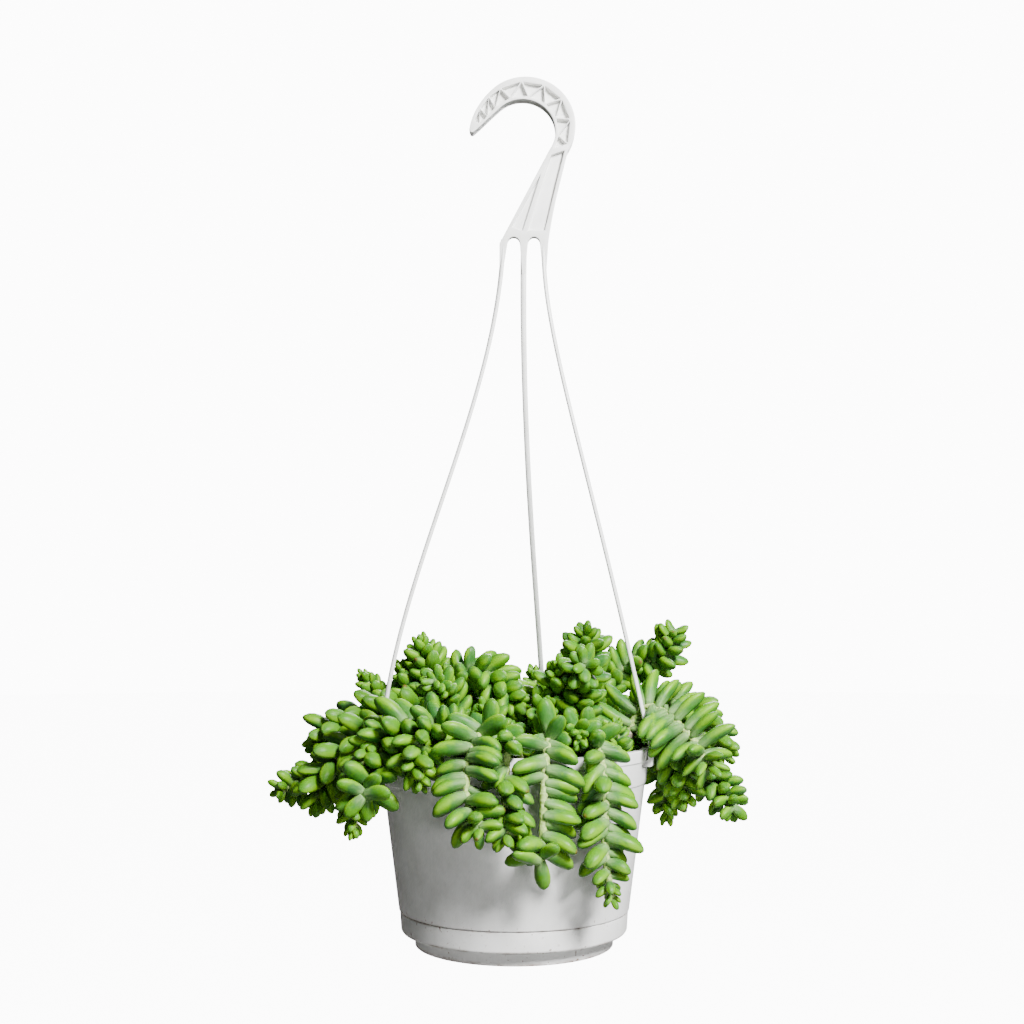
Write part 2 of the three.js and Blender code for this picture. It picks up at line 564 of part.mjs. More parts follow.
// How far a point is from the pot and the soil
function potClearance(p) {
  const r = Math.hypot(p.x, p.y);
  const overSoil = p.z - SOIL_TOP - 1.5;
  if (p.z >= POT_HEIGHT) {
    const ring = Math.hypot(Math.max(RIM_INSIDE - r, r - RIM_RADIUS, 0), p.z - POT_HEIGHT);
    return r < RIM_INSIDE ? Math.min(ring, overSoil) : ring;
  }
  if (r <= 82.5) return Math.min(RIM_INSIDE - r, overSoil);
  if (p.z >= RIM_LOW) return r - RIM_RADIUS;
  const wall = r - (p.z >= COLLAR_LOW ? wallRadius(RIM_LOW) + COLLAR_OUT : wallRadius(p.z));
  return Math.min(wall, Math.hypot(Math.max(r - RIM_RADIUS, 0), RIM_LOW - p.z));
}

const BODY = [[0.2, 0.12], [0.34, 0.2], [0.5, 0.2], [0.65, 0.2], [0.86, 0.19], [0.98, 0.08]];

function isClear(leaf, stem, leaves, stems, arms) {
  const { ends, radius, middle, reach } = leaf;
  if (BODY.some(([t, r]) => potClearance(leaf.point(t)) < r * leaf.length + 0.4)) return false;
  const nearest = (marks, limit, around) => {
    for (let i = 0; i + 1 < marks.length; i++) {
      const apart = Math.min(marks[i].distanceTo(middle), marks[i + 1].distanceTo(middle));
      if (apart > reach + around) continue;
      if (pieceDistance(ends[0], ends[1], marks[i], marks[i + 1]) < limit) return true;
      if (pieceDistance(ends[1], ends[2], marks[i], marks[i + 1]) < limit) return true;
    }
    return false;
  };
  for (const [owner, other] of leaves) {
    if (owner === stem || other.middle.distanceTo(middle) > reach + other.reach + 0.5) continue;
    if (nearest(other.ends, 0.86 * (radius + other.radius) + GAP, other.length)) return false;
  }
  const room = radius + STEM_RADIUS + GAP;
  if (stems.some((other) => other !== stem && nearest(other.marks, room, 10))) return false;
  return !arms.some((marks) => nearest(marks, radius + ARM_WIDTH / 2 + 0.6, 20));
}

// Where a leaf has no room it turns aside, or leans, or stays smaller, in this order: turn, lean, size
const ASIDE = [
  [0, 0, 1], [22, 0, 1], [-22, 0, 1], [0, -22, 1], [20, -20, 0.95], [-20, -20, 0.95],
  [42, 0, 0.95], [-42, 0, 0.95], [0, 22, 0.95], [30, -35, 0.85], [-30, -35, 0.85], [62, -10, 0.85],
  [-62, -10, 0.85], [0, -40, 0.75], [30, -20, 0.65], [-30, -20, 0.65], [0, -30, 0.5],
];

// Leaves on a golden spiral from the tip of each stem down to its bare foot, small and close at the tip
function growLeaves(stems, arms) {
  const placed = [];
  for (const stem of stems) {
    const draw = draws(1000 + 77 * stem.number);
    let fromTip = 0.6;
    let lastFused = -FUSED_APART;
    for (let i = 0; stem.length - fromTip > stem.start; i++) {
      const [turnDraw, leanDraw, sizeDraw] = [draw(), draw(), draw()];
      let turn = (i * GOLDEN_ANGLE + stem.twist) % 360;
      if (turn > 180) turn -= 360;
      const side = turn >= 0 ? 90 : -90;
      const inRows = stem.fan * smooth((fromTip - 10) / 20) * (1 - smooth((fromTip - stem.rows) / 10));
      turn = side + (turn - side) * (1 - inRows) + (turnDraw - 0.5) * 24;
      const lean = stem.open + (stem.lean - stem.open) * smooth((fromTip + 1.5) / 11)
        + (leanDraw - 0.5) * 16 * smooth(fromTip / 8);
      const length = stem.leaf * (stem.tip + (1 - stem.tip) * smooth((fromTip + 1) / stem.taper))
        * (0.88 + 0.24 * sizeDraw) * (1 - 0.12 * smooth((fromTip - 60) / 60));
      const isBare = side > 0 && fromTip > stem.bare[0] && fromTip < stem.bare[1];
      for (const [aside, tilt, size] of isBare ? [] : ASIDE) {
        const leaf = new Leaf(stem, stem.length - fromTip, turn + aside, lean + tilt, length * size);
        if (isClear(leaf, stem, placed, stems, arms)) {
          leaf.fused = fromTip - lastFused >= FUSED_APART * (0.35 + 0.65 * smooth(fromTip / 14));
          if (leaf.fused) lastFused = fromTip;
          placed.push([stem, leaf]);
          break;
        }
      }
      fromTip += stem.tipGap + (stem.gap - stem.tipGap) * smooth(fromTip / 22);
    }
  }
  // The leaves that reach furthest to each side are always fused, so the solids reach as far as the plant
  for (const axis of ["x", "y"]) {
    const reach = ([, leaf]) => leaf.point(1)[axis];
    placed.reduce((far, other) => (reach(other) > reach(far) ? other : far))[1].fused = true;
    placed.reduce((far, other) => (reach(other) < reach(far) ? other : far))[1].fused = true;
  }
  return placed;
}

function stemSection(radius) {
  const corners = [];
  for (let i = 0; i < STEM_SIDES; i++) {
    const a = (2 * Math.PI * i) / STEM_SIDES;
    corners.push(new THREE.Vector2(radius * Math.cos(a), radius * Math.sin(a)));
  }
  return new THREE.Shape(corners);
}

function stemSolid(stem, radius = STEM_RADIUS) {
  const steps = Math.round(stem.length / STEM_STEP);
  return solidOf(new THREE.ExtrudeGeometry(stemSection(radius),
    { steps, bevelEnabled: false, extrudePath: stem.curve }));
}

// The plain hole that a stem stands in: the stem's own course, wider, and a little deeper at its foot
function stemHole(stem) {
  const [x, y] = stem.root;
  const radius = STEM_RADIUS + HOLE_ROOM;
  const foot = new THREE.CylinderGeometry(radius, radius, 2, 4).rotateX(Math.PI / 2);
  return stemSolid(stem, radius).add(solidOf(foot.translate(x, y, ROOT_LOW + 1 - GAP)));
}

function makeSoil(stems) {
  const inside = (z) => wallRadius(z) - WALL - GAP;
  let soil = turned([
    [0, FLOOR_TOP + GAP], [POT_FOOT_RADIUS - WALL - 1, FLOOR_TOP + GAP],
    [POT_FOOT_RADIUS - WALL - 0.5, SHELF_HEIGHT - 1], [inside(SHELF_HEIGHT + 2) - 0.1, SHELF_HEIGHT + 2.2],
    [inside(COLLAR_LOW - 4) - 0.1, COLLAR_LOW - 4],
    [RIM_INSIDE - GAP - 0.6, SOIL_EDGE - 1], [RIM_INSIDE - GAP - 1.6, SOIL_EDGE], [60, SOIL_TOP - 0.6],
    [30, SOIL_TOP], [0, SOIL_TOP - 0.4],
  ]);
  for (const stem of stems) soil = soil.subtract(stemHole(stem));
  return soil;
}

// Assembly

const stems = STEMS.map((spec, number) => new Stem(spec, number));
const armLines = ARMS.map((arm) => armCurve(arm).getPoints(30));
const leaves = growLeaves(stems, armLines);

const part = new THREE.Group();
part.add(named("pot", makePot(), plastic));
part.add(named("saucer", makeSaucer(), plastic));
part.add(named("soil", makeSoil(stems), earth));
part.add(named("hanger", makeHanger(), plastic));
for (const stem of stems) {
  let solid = stemSolid(stem);
  for (const [owner, leaf] of leaves) {
    if (owner === stem && leaf.fused) solid = solid.add(leaf.solid());
  }
  part.add(named(stem.name, solid, stem.start < stem.length ? foliage : bark));
}

export default part;
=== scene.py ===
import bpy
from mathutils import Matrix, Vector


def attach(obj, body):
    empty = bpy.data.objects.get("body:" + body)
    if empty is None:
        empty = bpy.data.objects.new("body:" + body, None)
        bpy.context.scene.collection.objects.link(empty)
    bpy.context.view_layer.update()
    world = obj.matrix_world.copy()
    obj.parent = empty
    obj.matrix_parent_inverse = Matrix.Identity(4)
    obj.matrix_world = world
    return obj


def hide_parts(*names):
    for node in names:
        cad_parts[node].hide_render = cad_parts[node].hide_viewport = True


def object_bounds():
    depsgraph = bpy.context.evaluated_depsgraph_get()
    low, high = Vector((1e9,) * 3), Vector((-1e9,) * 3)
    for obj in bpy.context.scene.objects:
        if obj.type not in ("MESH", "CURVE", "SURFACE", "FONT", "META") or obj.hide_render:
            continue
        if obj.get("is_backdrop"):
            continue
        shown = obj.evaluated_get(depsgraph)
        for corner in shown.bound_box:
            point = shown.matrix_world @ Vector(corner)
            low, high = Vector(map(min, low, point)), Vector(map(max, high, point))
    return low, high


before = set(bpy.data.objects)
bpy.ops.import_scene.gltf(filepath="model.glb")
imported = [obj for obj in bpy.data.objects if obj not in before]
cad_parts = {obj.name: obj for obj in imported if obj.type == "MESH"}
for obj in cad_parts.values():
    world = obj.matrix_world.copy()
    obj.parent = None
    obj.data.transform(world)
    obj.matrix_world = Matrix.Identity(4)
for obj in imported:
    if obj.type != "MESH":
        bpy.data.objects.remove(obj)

"""A burro's tail plant in a white hanging pot with its clip-on saucer and hanger.

Sizes are millimetres and degrees, as on the real thing, and become metres where a mesh is made. The
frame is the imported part's own: the origin on the pot's axis at the saucer's underside, +Z up, +X to the
right and +Y to the back.
"""

import logging
import math
from dataclasses import dataclass, field
from enum import Enum

import bmesh
import bpy
import numpy as np
from mathutils import Matrix

logging.basicConfig(level=logging.INFO, format="%(message)s")
log = logging.getLogger("plant")

MM = 0.001
# Edges of cut and boxy shapes that turn by more than this many degrees stay sharp
SHARP = 30.0
GOLDEN_ANGLE = 137.508
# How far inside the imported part's box the leaves stay, in metres
INSET = 2e-5


# Meshes

class Side(Enum):
    """Which side of a surface lies outwards as its grid is wound."""

    AS_WOUND = 1
    TURNED = -1


@dataclass
class Surface:
    """Points in millimetres with the faces that join them, the start of every mesh here.

    Attributes:
        points: one row of x, y and z for each vertex.
        faces: lists of vertex numbers.
        values: named values, one for each vertex.
        slots: the material number of each face, or nothing where all take the first.
    """

    points: np.ndarray
    faces: list
    values: dict = field(default_factory=dict)
    slots: np.ndarray | None = None

    def joined(self, other: "Surface") -> "Surface":
        """Both surfaces as one.

        Args:
            other: the surface that follows this one.

        Returns:
            A surface with the points and faces of both.
        """
        shift = len(self.points)
        faces = self.faces + [[i + shift for i in face] for face in other.faces]
        values = {}
        for name in {**self.values, **other.values}:
            mine = self.values.get(name, np.zeros(shift))
            theirs = other.values.get(name, np.zeros(len(other.points)))
            values[name] = np.concatenate([mine, theirs])
        slots = np.concatenate([s.slots if s.slots is not None else np.zeros(len(s.faces), int)
                                for s in (self, other)])
        return Surface(np.concatenate([self.points, other.points]), faces, values, slots)


def tube_faces(rows: int, columns: int, side: Side = Side.AS_WOUND, tubes: int = 1) -> list:
    """The faces of closed tubes whose two ends are fans.

    Each tube's points are its rings in order, then the middle of its first end and the middle of its last.
    Face (i, j) joins points (i, j), (i, j+1), (i+1, j+1) and (i+1, j), the last column to the first.

    Args:
        rows: how many rings a tube has.
        columns: how many points a ring has.
        side: which way the faces look.
        tubes: how many tubes of this form follow each other.

    Returns:
        Lists of vertex numbers, four for a face and three for one of a fan.
    """
    i, j = np.meshgrid(np.arange(rows - 1), np.arange(columns), indexing="ij")
    k = (j + 1) % columns
    quads = np.stack([i * columns + j, i * columns + k, (i + 1) * columns + k, (i + 1) * columns + j], -1)
    j, k, last, count = j[0], k[0], (rows - 1) * columns, rows * columns
    first_fan = np.stack([k, j, 0 * j + count], -1)
    last_fan = np.stack([last + j, last + k, 0 * j + count + 1], -1)
    shifts = (np.arange(tubes) * (count + 2))[:, None, None]
    faces = []
    for part in (quads.reshape(-1, 4), np.concatenate([first_fan, last_fan])):
        wound = part if side is Side.AS_WOUND else part[:, ::-1]
        faces += (wound + shifts).reshape(-1, part.shape[1]).tolist()
    return faces


def rounded(corners: list, radius: float, steps: int = 4) -> np.ndarray:
    """A line with each inner corner rounded.

    Each corner becomes a quadratic curve that starts and ends on its two sides, radius away from the
    corner, or at most 45 % of the side's length away.

    Args:
        corners: pairs of numbers along the line.
        radius: the distance from the corner at which the curve starts.
        steps: how many stretches the curve has.

    Returns:
        The points of the rounded line.
    """
    p = np.array(corners, float)
    out = [p[:1]]
    t = np.linspace(0, 1, steps + 1)[:, None]
    for a, b, c in zip(p[:-2], p[1:-1], p[2:]):
        before, after = np.linalg.norm(a - b), np.linalg.norm(c - b)
        start = b + (a - b) / before * min(radius, 0.45 * before)
        end = b + (c - b) / after * min(radius, 0.45 * after)
        out.append((1 - t) ** 2 * start + 2 * t * (1 - t) * b + t ** 2 * end)
    out.append(p[-1:])
    return np.concatenate(out)


def turned(profile: np.ndarray, segments: int) -> Surface:
    """A profile of radius and height turned round the pot's axis.

    Point (i, j) is (r_i cos a_j, r_i sin a_j, z_i) with a_j = 2 pi j / segments. The profile starts and ends
    on the axis, where a fan closes the surface.

    Args:
        profile: rows of radius and height, the outside running upwards.
        segments: how many stretches go round.

    Returns:
        The closed surface.
    """
    a = np.linspace(0, 2 * np.pi, segments, endpoint=False)
    r, z = profile[1:-1, :1], profile[1:-1, 1:]
    rings = np.stack([r * np.cos(a), r * np.sin(a), z + 0 * a], -1)
    ends = [[0, 0, profile[0, 1]], [0, 0, profile[-1, 1]]]
    return Surface(np.concatenate([rings.reshape(-1, 3), ends]), tube_faces(len(rings), segments))


def swept(line: np.ndarray, radii: np.ndarray, sides: int, up: tuple, aspect: float = 1.0) -> Surface:
    """A tube along a line, closed at both ends.

    Point (i, j) is line_i + radii_i (cos a_j n_i + aspect sin a_j b_i), where n_i is the part of up that is
    square to the line and b_i is square to both.

    Args:
        line: the points of the line.
        radii: the tube's radius at each.
        sides: how many points a ring has.
        up: the direction that the section's first axis leans to.
        aspect: the second half-axis of the section as a share of the first.

    Returns:
        The closed tube.
    """
    way = np.gradient(line, axis=0)
    way /= np.linalg.norm(way, axis=1)[:, None]
    n = np.array(up, float) - way * (way @ np.array(up, float))[:, None]
    n /= np.linalg.norm(n, axis=1)[:, None]
    b = np.cross(way, n)
    a = np.linspace(0, 2 * np.pi, sides, endpoint=False)
    ring = np.cos(a)[None, :, None] * n[:, None] + aspect * np.sin(a)[None, :, None] * b[:, None]
    points = (line[:, None] + radii[:, None, None] * ring).reshape(-1, 3)
    return Surface(np.concatenate([points, line[:1], line[-1:]]), tube_faces(len(line), sides))


def linked(name: str, data: bpy.types.ID) -> bpy.types.Object:
    """A new object in the scene.

    Args:
        name: the object's name.
        data: the mesh, curve, light or camera that it shows.

    Returns:
        The object, at the origin.
    """
    made = bpy.data.objects.new(name, data)
    bpy.context.collection.objects.link(made)
    return made


def mesh_object(name: str, surface: Surface, sharp: float | None = None) -> bpy.types.Object:
    """A smooth-shaded object from a surface, at the origin, in metres.

    Args:
        name: the object's name.
        surface: its points, faces, values and material numbers.
        sharp: edges that turn by more than this many degrees stay sharp.

    Returns:
        The new object, linked to the scene.
    """
    mesh = bpy.data.meshes.new(name)
    mesh.from_pydata((surface.points * MM).tolist(), [], surface.faces)
    for key, value in surface.values.items():
        mesh.attributes.new(key, "FLOAT", "POINT").data.foreach_set("value", value.astype(np.float32))
    if surface.slots is not None:
        mesh.polygons.foreach_set("material_index", surface.slots.astype(np.int32))
    mesh.shade_smooth()
    if sharp is not None:
        mesh.set_sharp_from_angle(angle=math.radians(sharp))
    mesh.update()
    return linked(name, mesh)


def settled_mesh(piece: bpy.types.Object) -> bpy.types.Mesh:
    """An object's mesh with its modifiers applied, or the mesh of a curve."""
    return bpy.data.meshes.new_from_object(piece.evaluated_get(bpy.context.evaluated_depsgraph_get()))


def block(name: str, low: tuple, high: tuple, angle: float) -> bpy.types.Object:
    """A box between two corners, turned about the pot's axis.

    Args:
        name: the object's name.
        low: its lowest corner in millimetres.
        high: its highest corner.
        angle: the turn in degrees.

    Returns:
        The new object.
    """
    x, y, z = np.meshgrid(*zip(low, high), indexing="ij")
    points = np.stack([x, y, z], -1).reshape(-1, 3)
    c, s = math.cos(math.radians(angle)), math.sin(math.radians(angle))
    points = points @ np.array([[c, s, 0], [-s, c, 0], [0, 0, 1]])
    faces = [[0, 1, 3, 2], [4, 6, 7, 5], [0, 4, 5, 1], [2, 3, 7, 6], [0, 2, 6, 4], [1, 5, 7, 3]]
    return mesh_object(name, Surface(points, faces), SHARP)


def cut(piece: bpy.types.Object, cutters: list) -> None:
    """Takes the cutters out of a piece, applies that and removes the cutters.

    Args:
        piece: the object that is cut.
        cutters: the objects that cut it.
    """
    for cutter in cutters:
        step = piece.modifiers.new("cut", "BOOLEAN")
        step.object, step.operation, step.solver = cutter, "DIFFERENCE", "EXACT"
    mesh = settled_mesh(piece)
    piece.modifiers.clear()
    piece.data = mesh
    mesh.shade_smooth()
    mesh.set_sharp_from_angle(angle=math.radians(SHARP))
    for cutter in cutters:
        bpy.data.objects.remove(cutter)


def merge(piece: bpy.types.Object, other: bpy.types.Object) -> None:
    """Puts another object's mesh into a piece and removes the other.

    Args:
        piece: the object that stays.
        other: the object whose mesh it takes in.
    """
    work = bmesh.new()
    work.from_mesh(piece.data)
    work.from_mesh(other.data)
    work.to_mesh(piece.data)
    work.free()
    bpy.data.objects.remove(other)


# Finishes

def linear(colour: str) -> tuple:
    """An sRGB hex colour as linear red, green, blue and alpha.

    Args:
        colour: six hex digits after a hash.

    Returns:
        Four numbers from 0 to 1.
    """
    parts = [int(colour[i:i + 2], 16) / 255 for i in (1, 3, 5)]
    return tuple(c / 12.92 if c <= 0.04045 else ((c + 0.055) / 1.055) ** 2.4 for c in parts) + (1.0,)


def feed(node: bpy.types.Node, inputs: dict) -> None:
    """Links or sets the inputs of a node.

    Args:
        node: the node.
        inputs: for each input socket, the output socket linked to it or the value set on it.
    """
    for key, value in inputs.items():
        if isinstance(value, bpy.types.NodeSocket):
            node.id_data.links.new(value, node.inputs[key])
        else:
            node.inputs[key].default_value = value


def add(tree: bpy.types.NodeTree, kind: str, inputs: dict | None = None, stops: list | None = None,
        out: int | str = 0, **settings: object) -> bpy.types.NodeSocket:
    """Adds a node with its settings, its values and its links.

    Args:
        tree: the material's node tree.
        kind: the node's type, without the leading ShaderNode.
        inputs: for each input socket, the output socket linked to it or the value set on it.
        stops: the places and colours of a colour ramp.
        out: the output that is used further on.
        **settings: the node's own properties.

    Returns:
        That output of the new node.
    """
    node = tree.nodes.new("ShaderNode" + kind)
    for name, value in settings.items():
        setattr(node, name, value)
    feed(node, inputs or {})
    if stops:
        ramp = node.color_ramp.elements
        while len(ramp) < len(stops):
            ramp.new(0.5)
        for element, (place, colour) in zip(ramp, stops):
            element.position = place
            element.color = linear(colour)
    return node.outputs[out]


def blank(name: str) -> tuple:
    """A new material with an empty Principled shader.

    Args:
        name: the material's name.

    Returns:
        The material, its node tree and the shader node.
    """
    material = bpy.data.materials.new(name)
    material.use_nodes = True
    return material, material.node_tree, material.node_tree.nodes["Principled BSDF"]


def scale_of(width: float) -> float:
    """The scale of a pattern whose features are this many millimetres wide."""
    return 1 / (width * MM)


@dataclass(frozen=True)
class MouldedPolypropylene:
    """White injection-moulded polypropylene: a soft waxy gloss, a little light passing into it, faint flow
    lines and handling dust that break the gloss and grey the white unevenly, and brown grime where water and
    soil settle: in the joints low on the pot and along its lowest edge.

    Attributes:
        name: the material's name.
        white: the clean plastic.
        dust: the plastic where dust and handling have greyed it.
        grime: the soil in the joints.
        roughness: the clean plastic's roughness.
        flow_mm: the width of a flow line.
        drawn: how much finer the flow lines are across than along the pot's height.
        mottle_mm: the width of a dusty patch.
        fine_mm: the width of the surface's fine grain.
        broken_mm: the length of a stretch of grime.
        speck_mm: the width of a speck of grime.
        near: how far from a joint the specks lie, in half-widths of its line.
        joints: the height and half-width of each grimy line and how thick the grime lies there.
    """

    name: str = "polypropylene_white_moulded"
    white: str = "#EEEEEC"
    dust: str = "#DFDFDC"
    grime: str = "#6A4A31"
    roughness: float = 0.38
    flow_mm: float = 3.5
    drawn: float = 0.12
    mottle_mm: float = 30.0
    fine_mm: float = 0.9
    broken_mm: float = 14.0
    speck_mm: float = 2.2
    near: float = 4.5
    joints: tuple = ((21.5, 1.1, 0.85), (9.2, 1.3, 0.8), (0.0, 2.4, 1.0))

    def grime_at(self, tree: bpy.types.NodeTree, place: bpy.types.NodeSocket) -> bpy.types.NodeSocket:
        """How thick the grime lies: in broken lines along the joints, and in specks near them.

        Args:
            tree: the node tree.
            place: the place on the object.

        Returns:
            The share of the white that it hides.
        """
        height = add(tree, "SeparateXYZ", {0: place}, out="Z")
        broken = add(tree, "TexNoise", {"Vector": place, "Scale": scale_of(self.broken_mm), "Detail": 5.0,
                                        "Roughness": 0.65})
        broken = add(tree, "MapRange", {"Value": broken, "From Min": 0.4, "From Max": 0.62})
        speck = add(tree, "TexNoise", {"Vector": place, "Scale": scale_of(self.speck_mm), "Detail": 1.0})
        speck = add(tree, "MapRange", {"Value": speck, "From Min": 0.685, "From Max": 0.72})
        total = 0.0
        for level, half, depth in self.joints:
            off = add(tree, "Math", {0: height, 1: level * MM}, operation="SUBTRACT")
            off = add(tree, "Math", {0: off}, operation="ABSOLUTE")
            for reach, pattern in ((half, broken), (self.near * half, speck)):
                line = add(tree, "MapRange", {"Value": off, "From Min": reach * MM, "From Max": 0.0,
                                              "To Max": depth})
                line = add(tree, "Math", {0: line, 1: pattern}, operation="MULTIPLY")
                total = add(tree, "Math", {0: total, 1: line}, operation="MAXIMUM")
        return total

    def make(self) -> bpy.types.Material:
        """Makes the material.

        Returns:
            The finished material.
        """
        material, tree, shader = blank(self.name)
        place = add(tree, "TexCoord", out="Object")
        drawn = add(tree, "Mapping", {"Vector": place, "Scale": (1.0, 1.0, self.drawn)})
        flow = add(tree, "TexNoise", {"Vector": drawn, "Scale": scale_of(self.flow_mm), "Detail": 3.0,
                                      "Roughness": 0.55})
        mottle = add(tree, "TexNoise", {"Vector": place, "Scale": scale_of(self.mottle_mm), "Detail": 5.0,
                                        "Roughness": 0.6})
        mixed = add(tree, "Math", {0: flow, 1: 0.22, 2: mottle}, operation="MULTIPLY_ADD")
        grey = add(tree, "MapRange", {"Value": mixed, "From Min": 0.52, "From Max": 0.82})
        tint = linear(self.white)
        grime = self.grime_at(tree, place)
        for share, colour in ((grey, self.dust), (grime, self.grime)):
            tint = add(tree, "Mix", {"Factor": share, "A": tint, "B": linear(colour)}, data_type="RGBA",
                       out="Result")
        gloss = add(tree, "MapRange", {"Value": mixed, "From Min": 0.5, "From Max": 0.85,
                                       "To Min": self.roughness - 0.04, "To Max": self.roughness + 0.14})
        dull = add(tree, "Math", {0: grime, 1: 0.4, 2: gloss}, operation="MULTIPLY_ADD")
        fine = add(tree, "TexNoise", {"Vector": place, "Scale": scale_of(self.fine_mm), "Detail": 2.0})
        height = add(tree, "Math", {0: flow, 1: 0.8, 2: fine}, operation="MULTIPLY_ADD")
        bump = add(tree, "Bump", {"Height": height, "Strength": 0.14, "Distance": 0.05 * MM})
        feed(shader, {
            "Base Color": tint, "Roughness": dull, "Normal": bump, "IOR": 1.49, "Subsurface Weight": 0.12,
            "Subsurface Radius": (1.0, 1.0, 1.0), "Subsurface Scale": 1.6 * MM,
        })
        return material


@dataclass(frozen=True)
class LeafSkin:
    """The skin of a burro's tail leaf: green flesh that light enters, yellower towards the tip, in patches
    and on young leaves, under a pale wax bloom that is thickest at the leaf's root, lies in fine streaks
    along the leaf, is rubbed off in patches and dulls the gloss where it is left. Its colour also holds
    painted light and shade: the side that is up on a hanging stem is painted lighter and yellower, the
    margins carry a painted yellow-green glow, and the rounded tip a painted shade.

    Attributes:
        name: the material's name.
        deep: the green of old, shaded leaves, and the painted shade on each leaf's rounded tip.
        green: the green of most leaves.
        yellow_green_and_painted_light: the yellow-green of young leaves and patches, and the painted light
            on the side that is up on a hanging stem and on the margins.
        painted_margin_glow: the brighter yellow-green painted on the margins, a painted glow of light
            through their thin edges.
        bloom: the wax.
        scorch: the red-brown of a few leaf tips.
        region_mm: the width of a region of sunnier leaves.
        patch_mm: the width of a yellow-green patch on a leaf.
        grain_mm: the width of the skin's finest dimples.
        streaks: the scale of the wax's streaks, in a measure in which a leaf is two wide.
        creases: the scale of the leaf's slow unevenness, in the same measure.
    """

    name: str = "succulent_leaf_waxy"
    deep: str = "#2C5E2A"
    green: str = "#377226"
    yellow_green_and_painted_light: str = "#4C830E"
    painted_margin_glow: str = "#76A80C"
    bloom: str = "#75965A"
    scorch: str = "#6E4A24"
    region_mm: float = 45.0
    patch_mm: float = 8.0
    grain_mm: float = 0.6
    streaks: float = 3.0
    creases: float = 1.15

    def make(self) -> bpy.types.Material:
        """Makes the material.

        Returns:
            The finished material.
        """
        material, tree, shader = blank(self.name)
        place = add(tree, "TexCoord", out="Object")
        along, tone, youth, upper, edge = (
            add(tree, "Attribute", out="Fac", attribute_name=key)
            for key in ("along", "tone", "youth", "upper", "edge"))
        region = add(tree, "TexNoise", {"Vector": place, "Scale": scale_of(self.region_mm), "Detail": 1.0})
        patch = add(tree, "TexNoise", {"Vector": place, "Scale": scale_of(self.patch_mm), "Detail": 4.0,
                                       "Roughness": 0.62, "Distortion": 0.6})
        grain = add(tree, "TexNoise", {"Vector": place, "Scale": scale_of(self.grain_mm), "Detail": 3.0,
                                       "Roughness": 0.6})
        # Streaks follow each leaf: fine across it, long along it, and each leaf has its own
        own = add(tree, "Math", {0: tone, 1: 40.0, 2: along}, operation="MULTIPLY_ADD")
        leaf_place = add(tree, "CombineXYZ", {"X": edge, "Y": upper, "Z": own})
        streak = add(tree, "TexNoise", {"Vector": leaf_place, "Scale": self.streaks, "Detail": 3.0,
                                        "Roughness": 0.65})
        # Darker and lighter leaves, by the tone of each and by region
        shade = add(tree, "Math", {0: region, 1: 1.2, 2: tone}, operation="MULTIPLY_ADD")
        shade = add(tree, "MapRange", {"Value": shade, "From Min": 0.25, "From Max": 1.35})
        # Yellow-green towards the tip, in patches and on young leaves; and painted light, as the side that
        # is up on a hanging stem and the margins are painted lighter and yellower
        margin = add(tree, "Math", {0: edge, 1: edge}, operation="MULTIPLY")
        reach = along
        for part, weight in ((upper, 0.45), (margin, 0.35), (patch, 1.7), (shade, 0.4), (youth, 0.45)):
            reach = add(tree, "Math", {0: part, 1: weight, 2: reach}, operation="MULTIPLY_ADD")
        yellow_and_painted_light = add(tree, "MapRange", {"Value": reach, "From Min": 1.8, "From Max": 2.35, "To Max": 0.95},
                  interpolation_type="SMOOTHSTEP")
        # Painted light: a brighter yellow-green glow painted along the margins, standing in for light
        # through their thin edges
        rim = add(tree, "MapRange", {"Value": margin, "From Min": 0.45, "From Max": 0.95, "To Max": 0.75},
                  interpolation_type="SMOOTHSTEP")
        rim = add(tree, "Math", {0: rim, 1: yellow_and_painted_light}, operation="MULTIPLY")
        # The rounded tip itself is darker again, as little light reaches it
        end = add(tree, "MapRange", {"Value": along, "From Min": 0.84, "From Max": 1.0, "To Max": 0.5})
        # The wax bloom: thick at the root, in streaks, rubbed off further out but for patches
        root = add(tree, "MapRange", {"Value": along, "From Min": 0.52, "From Max": 0.04, "To Max": 0.9},
                   interpolation_type="SMOOTHSTEP")
        line = add(tree, "MapRange", {"Value": streak, "From Min": 0.38, "From Max": 0.6, "To Min": 0.5,
                                      "To Max": 1.25})
        thick = add(tree, "Math", {0: root, 1: line}, operation="MULTIPLY")
        thin = add(tree, "Math", {0: patch, 1: streak}, operation="ADD")
        thin = add(tree, "MapRange", {"Value": thin, "From Min": 1.04, "From Max": 0.78, "To Max": 0.2})
        wax = add(tree, "Math", {0: thick, 1: thin}, operation="MAXIMUM", use_clamp=True)
